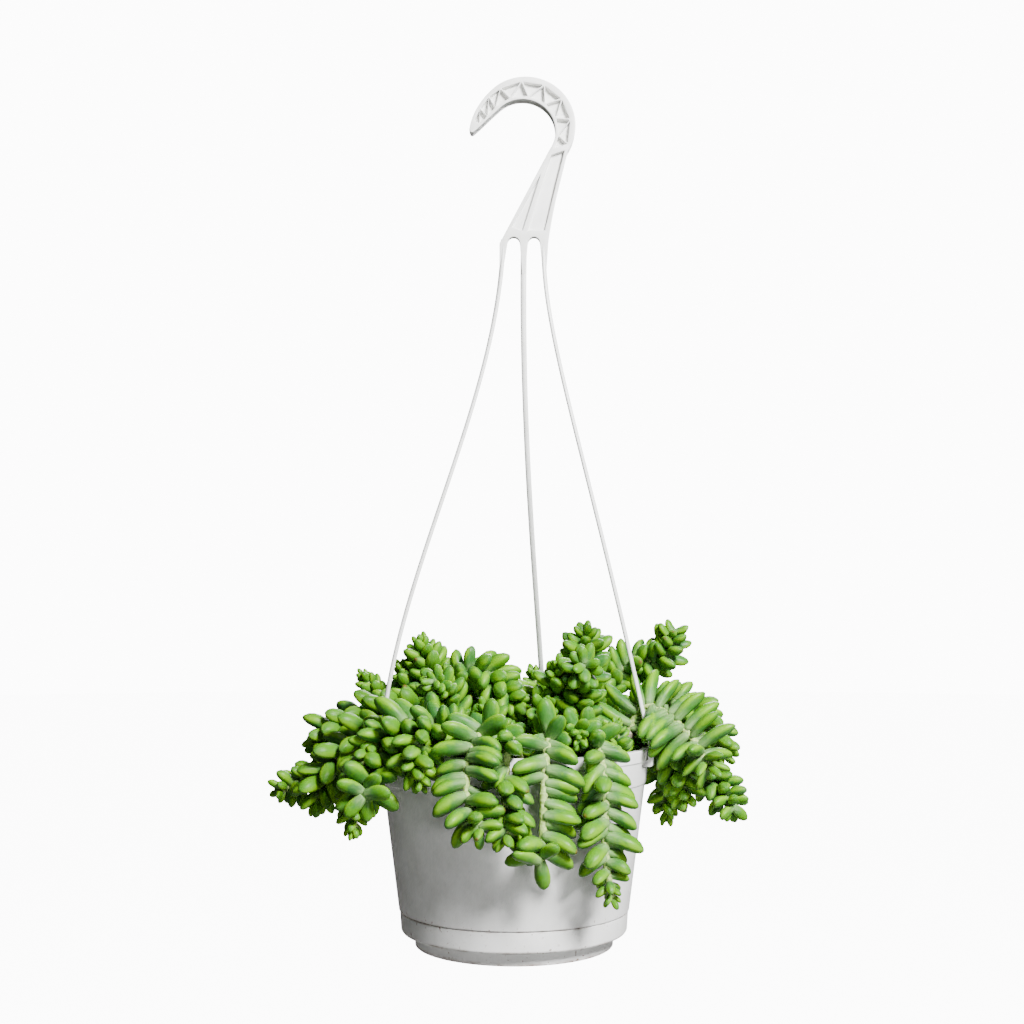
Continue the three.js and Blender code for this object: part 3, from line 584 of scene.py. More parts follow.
        # A few tips are scorched
        tip = add(tree, "MapRange", {"Value": along, "From Min": 0.95, "From Max": 1.0})
        worn = add(tree, "MapRange", {"Value": tone, "From Min": 0.86, "From Max": 0.96, "To Max": 0.8})
        burnt = add(tree, "Math", {0: tip, 1: worn}, operation="MULTIPLY")
        skin = linear(self.deep)
        layers = ((shade, self.green), (yellow_and_painted_light, self.yellow_green_and_painted_light), (rim, self.painted_margin_glow), (end, self.deep),
                  (wax, self.bloom), (burnt, self.scorch))
        for share, colour in layers:
            skin = add(tree, "Mix", {"Factor": share, "A": skin, "B": linear(colour)}, data_type="RGBA",
                       out="Result")
        dull = add(tree, "MapRange", {"Value": wax, "To Min": 0.34, "To Max": 0.6})
        crease = add(tree, "TexNoise", {"Vector": leaf_place, "Scale": self.creases, "Detail": 1.0})
        relief = add(tree, "Math", {0: streak, 1: 1.6, 2: grain}, operation="MULTIPLY_ADD")
        relief = add(tree, "Math", {0: crease, 1: 5.0, 2: relief}, operation="MULTIPLY_ADD")
        bump = add(tree, "Bump", {"Height": relief, "Strength": 0.45, "Distance": 0.2 * MM})
        feed(shader, {
            "Base Color": skin, "Roughness": dull, "Normal": bump, "IOR": 1.42, "Specular IOR Level": 0.22,
            "Subsurface Weight": 0.18, "Subsurface Radius": (0.5, 1.0, 0.15), "Subsurface Scale": 1.4 * MM,
        })
        return material


@dataclass(frozen=True)
class StemSkin:
    """The stem's skin: pale green under a thick whitish bloom, knobbly where leaves grow and grew.

    Attributes:
        name: the material's name.
        green: the stem's green.
        bloom: its bloom.
        knob_mm: the width of a knob.
        grain_mm: the width of the bloom's grain.
    """

    name: str = "succulent_stem_bloom"
    green: str = "#7FA03F"
    bloom: str = "#B4C97E"
    knob_mm: float = 1.6
    grain_mm: float = 0.5

    def make(self) -> bpy.types.Material:
        """Makes the material.

        Returns:
            The finished material.
        """
        material, tree, shader = blank(self.name)
        place = add(tree, "TexCoord", out="Object")
        knobs = add(tree, "TexVoronoi", {"Vector": place, "Scale": scale_of(self.knob_mm)},
                    out="Distance", feature="SMOOTH_F1")
        grain = add(tree, "TexNoise", {"Vector": place, "Scale": scale_of(self.grain_mm), "Detail": 3.0})
        pale = add(tree, "MapRange", {"Value": knobs, "From Min": 0.15, "From Max": 0.7})
        tint = add(tree, "Mix", {"Factor": pale, "A": linear(self.bloom), "B": linear(self.green)},
                   data_type="RGBA", out="Result")
        relief = add(tree, "Math", {0: knobs, 1: -2.0, 2: grain}, operation="MULTIPLY_ADD")
        bump = add(tree, "Bump", {"Height": relief, "Strength": 0.6, "Distance": 0.35 * MM})
        feed(shader, {
            "Base Color": tint, "Normal": bump, "Roughness": 0.68, "Subsurface Weight": 0.2,
            "Subsurface Radius": (0.7, 1.0, 0.4), "Subsurface Scale": 1.2 * MM,
        })
        return material


@dataclass(frozen=True)
class StemBark:
    """The corky skin of an old stem that has dropped its leaves: dry, grey-brown, ringed with leaf scars.

    Attributes:
        name: the material's name.
        light: the ridges.
        dark: the cracks.
        ring_mm: the distance from one leaf scar to the next.
        grain_mm: the width of the cork's grain.
    """

    name: str = "old_stem_corky"
    light: str = "#A79B87"
    dark: str = "#5E5244"
    ring_mm: float = 2.4
    grain_mm: float = 0.7

    def make(self) -> bpy.types.Material:
        """Makes the material.

        Returns:
            The finished material.
        """
        material, tree, shader = blank(self.name)
        place = add(tree, "TexCoord", out="Object")
        rings = add(tree, "TexWave", {"Vector": place, "Scale": scale_of(self.ring_mm) / math.pi,
                                      "Distortion": 3.0, "Detail": 3.0},
                    out="Fac", wave_type="BANDS", bands_direction="Z")
        grain = add(tree, "TexNoise", {"Vector": place, "Scale": scale_of(self.grain_mm), "Detail": 4.0})
        shade = add(tree, "Math", {0: rings, 1: 0.6, 2: grain}, operation="MULTIPLY_ADD")
        tint = add(tree, "ValToRGB", {"Fac": shade}, stops=[(0.35, self.dark), (0.9, self.light)])
        bump = add(tree, "Bump", {"Height": shade, "Strength": 0.7, "Distance": 0.3 * MM})
        feed(shader, {"Base Color": tint, "Normal": bump, "Roughness": 0.88})
        return material


@dataclass(frozen=True)
class PottingSoil:
    """Moist potting soil: dark peat and bark crumbs, with next to no gloss.

    Attributes:
        name: the material's name.
        dark: wet peat.
        brown: dry peat and bark.
        crumb_mm: the width of a crumb.
        grain_mm: the width of the finest grains.
    """

    name: str = "potting_soil_moist"
    dark: str = "#1C140F"
    brown: str = "#4A382B"
    crumb_mm: float = 2.2
    grain_mm: float = 0.6

    def make(self) -> bpy.types.Material:
        """Makes the material.

        Returns:
            The finished material.
        """
        material, tree, shader = blank(self.name)
        place = add(tree, "TexCoord", out="Object")
        far = add(tree, "TexVoronoi", {"Vector": place, "Scale": scale_of(self.crumb_mm)}, out="Distance")
        own = far.node.outputs["Color"]
        grain = add(tree, "TexNoise", {"Vector": place, "Scale": scale_of(self.grain_mm), "Detail": 5.0})
        shade = add(tree, "Math", {0: own, 1: grain}, operation="MULTIPLY")
        tint = add(tree, "ValToRGB", {"Fac": shade}, stops=[(0.1, self.dark), (0.6, self.brown)])
        relief = add(tree, "Math", {0: far, 1: -1.5, 2: grain}, operation="MULTIPLY_ADD")
        bump = add(tree, "Bump", {"Height": relief, "Strength": 0.9, "Distance": 0.8 * MM})
        feed(shader, {"Base Color": tint, "Normal": bump, "Roughness": 0.92})
        return material


@dataclass(frozen=True)
class StudioPaper:
    """The matt paper of a studio floor, with no pattern. It gives little of the lamps' light back to the
    pot, and to the camera alone it glows with the white of the backdrop.

    Attributes:
        name: the material's name.
        grey: the paper in the lamps' light.
        lit: how bright it glows to the camera.
    """

    name: str = "studio_paper_white"
    grey: str = "#646463"
    lit: float = 11.4

    def make(self) -> bpy.types.Material:
        """Makes the material.

        Returns:
            The finished material.
        """
        material, tree, shader = blank(self.name)
        seen = add(tree, "LightPath", out="Is Camera Ray")
        feed(shader, {
            "Emission Strength": add(tree, "Math", {0: seen, 1: self.lit}, operation="MULTIPLY"),
            "Emission Color": (1.0, 1.0, 1.0, 1.0), "Base Color": linear(self.grey), "Roughness": 0.9,
        })
        return material


def settle(piece: bpy.types.Object, node: str, slot: str, *materials: bpy.types.Material) -> None:
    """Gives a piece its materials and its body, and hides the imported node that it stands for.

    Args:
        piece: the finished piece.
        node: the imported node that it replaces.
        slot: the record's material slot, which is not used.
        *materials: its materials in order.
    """
    slots = np.zeros(len(piece.data.polygons), np.int32)
    if len(materials) > 1:
        piece.data.polygons.foreach_get("material_index", slots)
    piece.data.materials.clear()
    for material in materials:
        piece.data.materials.append(material)
    piece.data.polygons.foreach_set("material_index", slots)
    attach(piece, "root")
    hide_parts(node)
    log.info("%s: %d faces", piece.name, len(piece.data.polygons))


# The pot and its saucer

# Where the three clips stand round the pot, in degrees from +X
STATIONS = (345.0, 76.0, 202.0)
# How many stretches go round the pot and the saucer
ROUND = 240


@dataclass(frozen=True)
class Pot:
    """The tapered pot: a shell with a shelf over the saucer, a collar, a rim band, three pockets for the
    hanger's clips, four drain holes and four lugs that hold the saucer.

    Attributes:
        height: the height of the rim's top.
        rim_radius: the outer radius of the rim band.
        rim_inside: the rim's inner radius.
        rim_low: the height of the rim band's lower edge.
        collar_low: the height of the collar's lower edge.
        collar_out: how far the collar stands out from the wall.
        shelf_height: the height of the shelf over the saucer.
        shelf_radius: the wall's outer radius at the shelf.
        slope: how much wider the wall's radius is for each millimetre of height.
        wall: the wall's thickness.
        foot: the height of the ring that the pot stands on.
        foot_radius: the outer radius of the part that stands in the saucer.
        floor_low: the height of the floor's underside.
        floor_top: the height of its upper side.
        drain_radius: the radius of a drain hole.
        drain_ring: how far a drain hole's middle lies from the axis.
        pocket_inside: how far from the axis a clip's pocket starts.
        tab_inside: how far from the axis the tab in front of a pocket starts.
        tab_half: half the tab's width.
        tab_low: the height of the tab's lower edge.
        pocket_half: half a pocket's width.
        pocket_low: the height of its lower edge.
        pocket_top: the height of its upper edge.
        lug_top: the height of a lug's top.
        lug_out: how far a lug stands out.
        lug_half: half a lug's width.
        lug_thick: a lug's thickness.
        underside: the radii between which the underside steps down from the floor to the foot.
        edge: how far from a corner its rounding starts.
    """

    height: float = 121.0
    rim_radius: float = 85.0
    rim_inside: float = 80.3
    rim_low: float = 113.7
    collar_low: float = 99.5
    collar_out: float = 0.7
    shelf_height: float = 21.7
    shelf_radius: float = 71.6
    slope: float = 0.134
    wall: float = 1.8
    foot: float = 10.2
    foot_radius: float = 67.0
    floor_low: float = 11.4
    floor_top: float = 13.4
    drain_radius: float = 4.0
    drain_ring: float = 42.0
    pocket_inside: float = 81.8
    tab_inside: float = 84.0
    tab_half: float = 5.2
    tab_low: float = 114.8
    pocket_half: float = 10.3
    pocket_low: float = 109.9
    pocket_top: float = 119.8
    lug_top: float = 16.2
    lug_out: float = 1.3
    lug_half: float = 5.0
    lug_thick: float = 1.4
    underside: tuple = (61.0, 61.6)
    edge: float = 0.7

    def wall_radius(self, z: float) -> float:
        """The outer radius of the tapered wall at a height: a straight line up from the shelf."""
        return self.shelf_radius + self.slope * (z - self.shelf_height)

    def profile(self) -> np.ndarray:
        """The pot's profile from the underside of its floor, up the outside and down the inside.

        Returns:
            Rows of radius and height.
        """
        out, wall = self.collar_out, self.wall
        corners = [
            (0, self.floor_low), (self.underside[0], self.floor_low), (self.underside[1], self.foot),
            (self.foot_radius, self.foot), (self.foot_radius + 0.5, self.shelf_height),
            (self.shelf_radius, self.shelf_height),
            (self.wall_radius(self.collar_low), self.collar_low),
            (self.wall_radius(self.collar_low) + out, self.collar_low + 0.4),
            (self.wall_radius(self.rim_low) + out - 0.5, self.rim_low),
            (self.rim_radius - 0.2, self.rim_low + 0.2), (self.rim_radius, self.height),
            (self.rim_inside, self.height), (self.rim_inside, self.height - 4),
            (self.wall_radius(self.collar_low - 4) - wall, self.collar_low - 4),
            (self.wall_radius(self.shelf_height + 2) - wall, self.shelf_height + 2),
            (self.foot_radius - wall, self.shelf_height - 1),
            (self.foot_radius - wall - 0.5, self.floor_top), (0, self.floor_top),
        ]
        return rounded(corners, self.edge)

    def build(self, plastic: bpy.types.Material) -> None:
        """Turns the shell, cuts its pockets and drain holes, and adds the lugs.

        Args:
            plastic: the pot's material.
        """
        piece = mesh_object("pot_shell", turned(self.profile(), ROUND), SHARP)
        near, far, half = self.tab_inside - 1, self.rim_radius + 4, self.pocket_half
        cutters = []
        for angle in STATIONS:
            boxes = [
                ((self.pocket_inside, -half, self.pocket_low), (self.tab_inside, half, self.pocket_top)),
                ((near, -half, self.pocket_low), (far, -self.tab_half, self.pocket_top)),
                ((near, self.tab_half, self.pocket_low), (far, half, self.pocket_top)),
                ((near, -self.tab_half - 1, self.pocket_low), (far, self.tab_half + 1, self.tab_low)),
            ]
            cutters += [block("cutter", low, high, angle) for low, high in boxes]
        for i in range(4):
            a = math.radians(90 * (i + 0.5))
            x, y = self.drain_ring * math.cos(a), self.drain_ring * math.sin(a)
            line = np.array([[x, y, self.floor_low - 4], [x, y, self.floor_top + 4]])
            drill = swept(line, np.full(2, self.drain_radius), 32, (1.0, 0.0, 0.0))
            cutters.append(mesh_object("cutter", drill, SHARP))
        cut(piece, cutters)
        for i in range(4):
            low = (self.foot_radius - 0.6, -self.lug_half, self.lug_top - self.lug_thick)
            high = (self.foot_radius + self.lug_out, self.lug_half, self.lug_top)
            merge(piece, block("lug", low, high, 90 * i))
        settle(piece, "pot", "pot_plastic", plastic)


@dataclass(frozen=True)
class Saucer:
    """The clip-on saucer: a shallow stepped tray with a bead inside its rim.

    Attributes:
        height: the height of the rim's top.
        radius: the rim's outer radius.
        wall: the wall's thickness.
        step: the height at which the wall steps out.
        floor: the height of the floor's upper side.
        foot_radius: the radius of the flat underside.
        ledge: the height of the ledge inside, over the step.
        bead_low: the height of the bead's lower edge.
        edge: how far from a corner its rounding starts.
    """

    height: float = 21.3
    radius: float = 71.0
    wall: float = 1.4
    step: float = 8.8
    floor: float = 1.8
    foot_radius: float = 61.5
    ledge: float = 9.9
    bead_low: float = 17.4
    edge: float = 0.6

    def build(self, plastic: bpy.types.Material) -> None:
        """Turns the tray.

        Args:
            plastic: the saucer's material.
        """
        inside = self.radius - self.wall
        corners = [
            (0, 0), (self.foot_radius, 0), (self.foot_radius + 0.3, self.step - 0.8),
            (self.radius - 1.6, self.step), (self.radius - 0.8, self.step + 1.2),
            (self.radius, self.height), (inside - 0.4, self.height), (inside - 0.9, self.height - 2.2),
            (inside - 0.9, self.bead_low), (inside - 0.4, self.bead_low - 0.7), (inside - 0.8, self.ledge),
            (self.foot_radius - 1.2, self.ledge), (self.foot_radius - 1.6, self.floor), (0, self.floor),
        ]
        piece = mesh_object("saucer_tray", turned(rounded(corners, self.edge), ROUND), sharp=50)
        settle(piece, "saucer", "pot_plastic", plastic)


# The hanger

def arc(centre: tuple, radius: float, start: float, end: float, steps: int) -> np.ndarray:
    """Points along an arc in the plane of X and Z.

    Args:
        centre: its centre.
        radius: its radius.
        start: the angle that it starts at, in degrees from +X.
        end: the angle that it ends at.
        steps: how many stretches it has.

    Returns:
        The points, evenly spaced by angle.
    """
    a = np.radians(np.linspace(start, end, steps + 1))
    return np.stack([centre[0] + radius * np.cos(a), centre[1] + radius * np.sin(a)], -1)


def bezier(a: tuple, b: tuple, c: tuple, d: tuple, steps: int) -> np.ndarray:
    """Points along a cubic curve from a to d that leaves towards b and arrives from c.

    Args:
        a: the start.
        b: the first handle.
        c: the second handle.
        d: the end.
        steps: how many stretches it has.

    Returns:
        The points, evenly spaced by the curve's own parameter.
    """
    a, b, c, d = (np.array(p, float) for p in (a, b, c, d))
    t = np.linspace(0, 1, steps + 1)[:, None]
    return (1 - t) ** 3 * a + 3 * t * (1 - t) ** 2 * b + 3 * t * t * (1 - t) * c + t ** 3 * d


def plate(name: str, outlines: list, depth: float, edge: float) -> bpy.types.Object:
    """A flat outline in the plane of X and Z, with holes, thickened along Y and with rounded edges.

    Args:
        name: the object's name.
        outlines: the outer outline and those of its holes, as rows of x and z.
        depth: the thickness.
        edge: the radius of the rounded edges.

    Returns:
        The new mesh object, centred on y = 0.
    """
    curve = bpy.data.curves.new(name, "CURVE")
    curve.dimensions, curve.fill_mode = "2D", "BOTH"
    curve.extrude = (depth / 2 - edge) * MM
    curve.bevel_depth, curve.bevel_resolution, curve.offset = edge * MM, 2, -edge * MM
    for outline in outlines:
        spline = curve.splines.new("POLY")
        spline.points.add(len(outline) - 1)
        rows = np.column_stack([outline * MM, np.zeros(len(outline)), np.ones(len(outline))])
        spline.points.foreach_set("co", rows.ravel())
        spline.use_cyclic_u = True
    flat = linked(name, curve)
    mesh = settled_mesh(flat)
    bpy.data.objects.remove(flat)
    mesh.transform(Matrix.Rotation(math.pi / 2, 4, "X"))
    work = bmesh.new()
    work.from_mesh(mesh)
    bmesh.ops.remove_doubles(work, verts=work.verts, dist=1e-6)
    work.to_mesh(mesh)
    work.free()
    mesh.shade_smooth()
    mesh.set_sharp_from_angle(angle=math.radians(35))
    return linked(name, mesh)


def soft_loop(corners: np.ndarray, radius: float) -> np.ndarray:
    """A closed outline with every corner rounded.

    Args:
        corners: its corners in order.
        radius: the distance from a corner at which its curve starts.

    Returns:
        The points of the rounded outline.
    """
    middle = (corners[-1] + corners[0]) / 2
    return rounded([middle, *corners, middle], radius, 3)[:-1]


@dataclass(frozen=True)
class Hanger:
    """The one-piece hanger: a hook with zigzag ribs, a ribbed neck, three arms and a clip on each.

    The hook lies between two arcs, seen from the front. Its ribs run from one flange to the other by way of
    the nodes, at even steps of angle on the arcs and one by one beyond them, and every three nodes in a row
    are the corners of a pocket.

    Attributes:
        depth: the hook's thickness.
        web: the thickness of the plastic in its pockets.
        edge: the radius of its rounded edges.
        outer_centre: the centre of the hook's outer arc.
        outer_radius: its radius.
        outer_span: the angles that it starts and ends at.
        inner_centre: the centre of the hook's inner arc.
        inner_radius: its radius.
        inner_span: the angles that it starts and ends at.
        outer_flange: the width of the flange along the outer arc.
        inner_flange: the width of the flange along the inner arc.
        first_node: the angle one step before the first node on the arcs.
        node_step: the angle from one node to the next.
        neck_nodes: the nodes between the neck and the arcs.
        tip_nodes: the nodes from the arcs to the tip.
        pocket_size: a pocket's size as a share of the triangle of its nodes.
        pocket_round: how far from a pocket's corner its rounding starts.
        neck_pockets: the corners of the neck's two long pockets.
        neck_top: the height at which the neck starts to thin.
        neck_low: the height at which it parts into three legs.
        root_low: the height at which the legs end in the arms.
        root_share: the depth of a leg's end as a share of an arm's thickness.
        arm_courses: where each arm starts, and the two handles of its curve.
        arm_end: the height at which an arm's middle line ends.
        arm_width: an arm's width, seen from outside.
        arm_thick: its thickness.
        clip_radius: how far from the axis an arm ends in its clip.
        clip_width: a clip's width.
        clip_low: the height of its lower end.
        clip_high: the height of its upper end.
        clip_inside: how near to the axis it reaches.
        barb: the corners of its barb, which holds behind the tab.
    """

    depth: float = 8.0
    web: float = 1.8
    edge: float = 0.35
    outer_centre: tuple = (7.6, 522.6)
    outer_radius: float = 32.66
    outer_span: tuple = (126.0, -34.0)
    inner_centre: tuple = (5.5, 518.4)
    inner_radius: float = 21.6
    inner_span: tuple = (-35.0, 137.0)
    outer_flange: float = 3.0
    inner_flange: float = 2.0
    first_node: float = -22.0
    node_step: float = 14.6
    neck_nodes: tuple = ((25.6, 506.4), (35.2, 509.8))
    tip_nodes: tuple = ((-16.4, 541.7), (-17.3, 528.2), (-22.3, 533.6), (-22.6, 523.3), (-26, 525.6))
    pocket_size: float = 0.88
    pocket_round: float = 0.6
    neck_pockets: tuple = (
        ((17.4, 489.5), (-1.6, 454.6), (5.7, 452.4)),
        ((24.4, 502.6), (33, 505.4), (27.7, 484), (22.6, 463), (20.1, 452.6), (8.9, 452.4), (19.8, 489)),
    )
    neck_top: float = 486.0
    neck_low: float = 445.0
    root_low: float = 424.0
    root_share: float = 0.8
    arm_courses: tuple = (
        ((19.6, 0, 447), (16.6, 0, 388), (47.4, -21, 300)),
        ((6.5, 0, 447), (3.5, 0, 300), (19.4, 58, 190)),
        ((-7, 0, 447), (-10, 0, 336), (-77.5, -32, 221)),
    )
    arm_end: float = 119.8
    arm_width: float = 3.6
    arm_thick: float = 2.6
    clip_radius: float = 87.1
    clip_width: float = 8.0
    clip_low: float = 110.4
    clip_high: float = 126.0
    clip_inside: float = 82.2
    barb: tuple = ((82.2, 118.7), (83.2, 119.4), (83.7, 118.7), (83.7, 114.4))

    def hook_outline(self) -> np.ndarray:
        """The hook and neck seen from the front, clockwise from the tip.

        Returns:
            Rows of x and z.
        """
        low, root = self.neck_low, self.root_low
        inner = arc(self.inner_centre, self.inner_radius, *self.inner_span, 40)
        outer = arc(self.outer_centre, self.outer_radius, *self.outer_span, 44)
        return np.concatenate([
            bezier((-29.2, 519.8), (-27.6, 531), (-20.8, 541.6), outer[0], 8)[:-1],
            outer,
            bezier(outer[-1], (31.2, 489), (25.5, 470), (22.4, low), 12)[1:],
            [(20.9, root), (18.9, root)],
            bezier((17.1, low - 1), (16.6, 450), (9.6, 450), (9, low - 1), 10),
            [(7.2, root), (5.2, root)],
            bezier((4, low - 1), (3.4, 450), (-3.8, 450), (-4.4, low - 1), 10),
            [(-7.5, root), (-9.5, root), (-9.4, low - 1)],
            inner,
            bezier(inner[-1], (-16.5, inner[-1][1] - 5.5), (-22.5, 521), (-26.8, 517.6), 8)[1:],
            [(-28.4, 517.8)],
        ])

    def pockets(self) -> list:
        """The triangles between the zigzag ribs, and the two long pockets of the neck.

        Returns:
            Their outlines as rows of x and z.
        """
        sides = (
            (self.outer_centre, self.outer_radius - self.outer_flange),
            (self.inner_centre, self.inner_radius + self.inner_flange),
        )
        angles = [self.first_node + self.node_step * i for i in range(1, 12)]
        on_arcs = [arc(*sides[i % 2], angle, angle, 1)[0] for i, angle in enumerate(angles, 1)]
        nodes = np.concatenate([self.neck_nodes, on_arcs, self.tip_nodes])
        triangles = [nodes[i:i + 3] for i in range(len(nodes) - 2)]
        shrunk = [t.mean(0) + self.pocket_size * (t - t.mean(0)) for t in triangles]
        long_ones = [np.array(corners, float) for corners in self.neck_pockets]
        return [soft_loop(corners, self.pocket_round) for corners in shrunk + long_ones]

    def arm_line(self, number: int, steps: int) -> np.ndarray:
        """The middle line of an arm, from the neck to its clip.

        Args:
            number: which arm, in the order of STATIONS.
            steps: how many pieces the line has.

        Returns:
            Its points.
        """
        a = math.radians(STATIONS[number])
        end = (self.clip_radius * math.cos(a), self.clip_radius * math.sin(a), self.arm_end)
        return bezier(*self.arm_courses[number], end, steps)

    def arm(self, number: int) -> Surface:
        """One arm, swept from the neck to its clip, an eighth wider at the very top.

        Args:
            number: which arm, in the order of STATIONS.

        Returns:
            The arm's surface.
        """
        a = math.radians(STATIONS[number])
        line = self.arm_line(number, 90)
        widening = 0.12 * (1 - np.minimum(np.linspace(0, 4, len(line)), 1))
        across_arm = (-math.sin(a), math.cos(a), 0.0)
        radii = self.arm_width / 2 * (1 + widening)
        return swept(line, radii, 24, across_arm, self.arm_thick / self.arm_width)

    def clip_outline(self) -> np.ndarray:
        """The clip seen from the side: the arm's end hooked under the tab in the rim.

        Returns:
            Rows of the distance from the axis and the height.
        """
        out, slit = self.clip_radius + self.arm_thick / 2, self.clip_radius - self.arm_thick / 2
        corners = [
            (slit, self.clip_high), (out, self.clip_high), (out, self.clip_low),
            (self.clip_inside, self.clip_low), *self.barb, (slit, self.barb[-1][1]), (slit, self.clip_high),
        ]
        return rounded(corners, 1.6)[:-1]

    def build(self, plastic: bpy.types.Material) -> None:
        """Makes the hook, the arms and the clips, and joins them as one moulding.

        Args:
            plastic: the hanger's material.
        """
        outline = self.hook_outline()
        piece = plate("hanger_moulding", [outline, *self.pockets()], self.depth, self.edge)
        merge(piece, plate("web", [outline], self.web, 0.05))
        # The neck thins from the hook's depth until its legs are sunk in the arms
        points = np.empty(len(piece.data.vertices) * 3)
        piece.data.vertices.foreach_get("co", points)
        points = points.reshape(-1, 3) / MM
        share = np.clip((self.neck_top - points[:, 2]) / (self.neck_top - self.root_low), 0, 1)
        points[:, 1] *= 1 - share * (1 - self.root_share * self.arm_thick / self.depth)
        piece.data.vertices.foreach_set("co", (points * MM).ravel())
        for number, angle in enumerate(STATIONS):
            merge(piece, mesh_object("arm", self.arm(number), sharp=60))
            clip = plate("clip", [self.clip_outline()], self.clip_width, 0.4)
            clip.data.transform(Matrix.Rotation(math.radians(angle), 4, "Z"))
            merge(piece, clip)
        settle(piece, "hanger", "pot_plastic", plastic)


# The plant

class Draws:
    """Seeded draws between 0 and 1, the same as in the part's source.

    Each state is 1664525 times the last one plus 1013904223, modulo 2 to the power 32, and the draw is that
    state's share of the modulus.
    """

    def __init__(self, seed: int) -> None:
        """Starts from a seed and passes over the first three draws.

        Args:
            seed: the first state.
        """
        self.state = seed
        for _ in range(3):
            self.next()

    def next(self) -> float:
        """The next draw."""
        self.state = (1664525 * self.state + 1013904223) & 0xFFFFFFFF
        return self.state / 4294967296


def smooth(t: float) -> float:
    """A soft step: 0 below 0, 1 above 1 and t * t * (3 - 2 t) between."""
    x = min(max(t, 0.0), 1.0)
    return x * x * (3 - 2 * x)


@dataclass
class Stem:
    """A leafy stem: its course from the soil and the habit of its leaves.

    Attributes:
        name: its node.
        root: where it stands in the soil.
        points: the course beyond the soil.
        leaf: the length of its leaves.
        gap: their spacing.
        lean: their angle to the stem.
        fan: how far they are pressed into two rows.
        twist: the turn of their spiral.
        start: the bare length from the root.
        tip: the last leaves' share of the length.
        open: the last leaves' angle.
        tip_gap: the last leaves' spacing.
        taper: how far from the tip the leaves reach their full length.
        rows: how far from the tip the two rows end.
        slim: the leaves' width and thickness as shares of the usual ones.
        bare: a stretch from the tip with no leaves on one side.
        face: the side that the two rows lie open to.
    """

    name: str
    root: tuple
    points: list
    leaf: float
    gap: float
    lean: float
    fan: float = 0.0
    twist: float = 0.0
    start: float = 17.0
    tip: float = 0.42
    open: float = 26.0
    tip_gap: float = 0.95
    taper: float = 17.0
    rows: float = 999.0
    slim: float = 1.0
    bare: tuple = (0.0, 0.0)
    face: tuple | None = None

    # The heights at which every course starts and at which it leaves the soil
    FOOT = 97
    OUT_OF_SOIL = 113
    # How many samples lead from one point of the course to the next, and which of them the tests take
    SAMPLES = 24
    MARK = 4

    def __post_init__(self) -> None:
        """Samples the course and measures it.

        Between two points b and c, with a before and d after them, it is the cubic that leaves b by
        (c - a) / 2 and arrives at c by (d - b) / 2. The tests of room take every fourth sample.
        """
        x, y = self.root
        p = np.array([(x, y, self.FOOT), (x, y, self.OUT_OF_SOIL), *self.points], float)
        p = np.vstack([2 * p[0] - p[1], p, 2 * p[-1] - p[-2]])
        t = (np.arange(self.SAMPLES) / self.SAMPLES)[:, None]
        parts = []
        for a, b, c, d in zip(p[:-3], p[1:-2], p[2:-1], p[3:]):
            m, n = (c - a) / 2, (d - b) / 2
            parts.append((2 * t**3 - 3 * t**2 + 1) * b + (t**3 - 2 * t**2 + t) * m
                         + (3 * t**2 - 2 * t**3) * c + (t**3 - t**2) * n)
        self.line = np.vstack([*parts, p[-2]])
        self.along = np.r_[0, np.cumsum(np.linalg.norm(np.diff(self.line, axis=0), axis=1))]
        self.length = self.along[-1]
        self.marks = self.line[::self.MARK]

    def point(self, s: float) -> np.ndarray:
        """The place at a distance along the stem, straight between two samples."""
        return np.array([np.interp(s, self.along, self.line[:, k]) for k in range(3)])

    def frame(self, s: float) -> tuple:
        """The stem's own directions at a distance along it.

        Args:
            s: the distance from the root.

        Returns:
            The place, the way along, the way out from the pot and the way across.
        """
        place = self.point(s)
        along = self.point(s + 1) - self.point(s - 1)
        along /= np.linalg.norm(along)
        outwards = (place[0] / Pot.rim_radius, place[1] / Pot.rim_radius, 0.8)
        out = np.array(self.face or outwards, float)
        out -= along * (out @ along)
        out /= np.linalg.norm(out)
        return place, along, out, np.cross(along, out)


@dataclass
class Leaf:
    """A leaf where it grows.

    Attributes:
        base: its root, on the stem's axis.
        way: the direction it leaves in.
        bend: the direction it curves to.
        length: its length.
        from_tip: how far its root is from the stem's tip.
        slim: its width and thickness as shares of the usual ones.
    """

    base: np.ndarray
    way: np.ndarray
    bend: np.ndarray
    length: float
    from_tip: float
    slim: float

    # How far its tip is bent aside, and the radius of its core, as shares of its length
    BEND = 0.16
    CORE = 0.2
    # The places along it at which the two straight pieces of its core start, meet and end
    JOINTS = (0.34, 0.62, 0.86)

    def __post_init__(self) -> None:
        """Works out the two straight pieces and the radius that stand for the leaf in the tests of room."""
        self.radius = self.CORE * self.length * self.slim
        self.ends = [self.point(t) for t in self.JOINTS]
        self.middle = (self.ends[0] + self.ends[2]) / 2
        self.reach = np.linalg.norm(self.ends[2] - self.ends[0]) / 2 + self.radius

    def point(self, t: float) -> np.ndarray:
        """A point of the middle line: base + way * L t + bend * 0.16 L t squared."""
        return self.base + self.way * (self.length * t) + self.bend * (self.length * self.BEND * t * t)


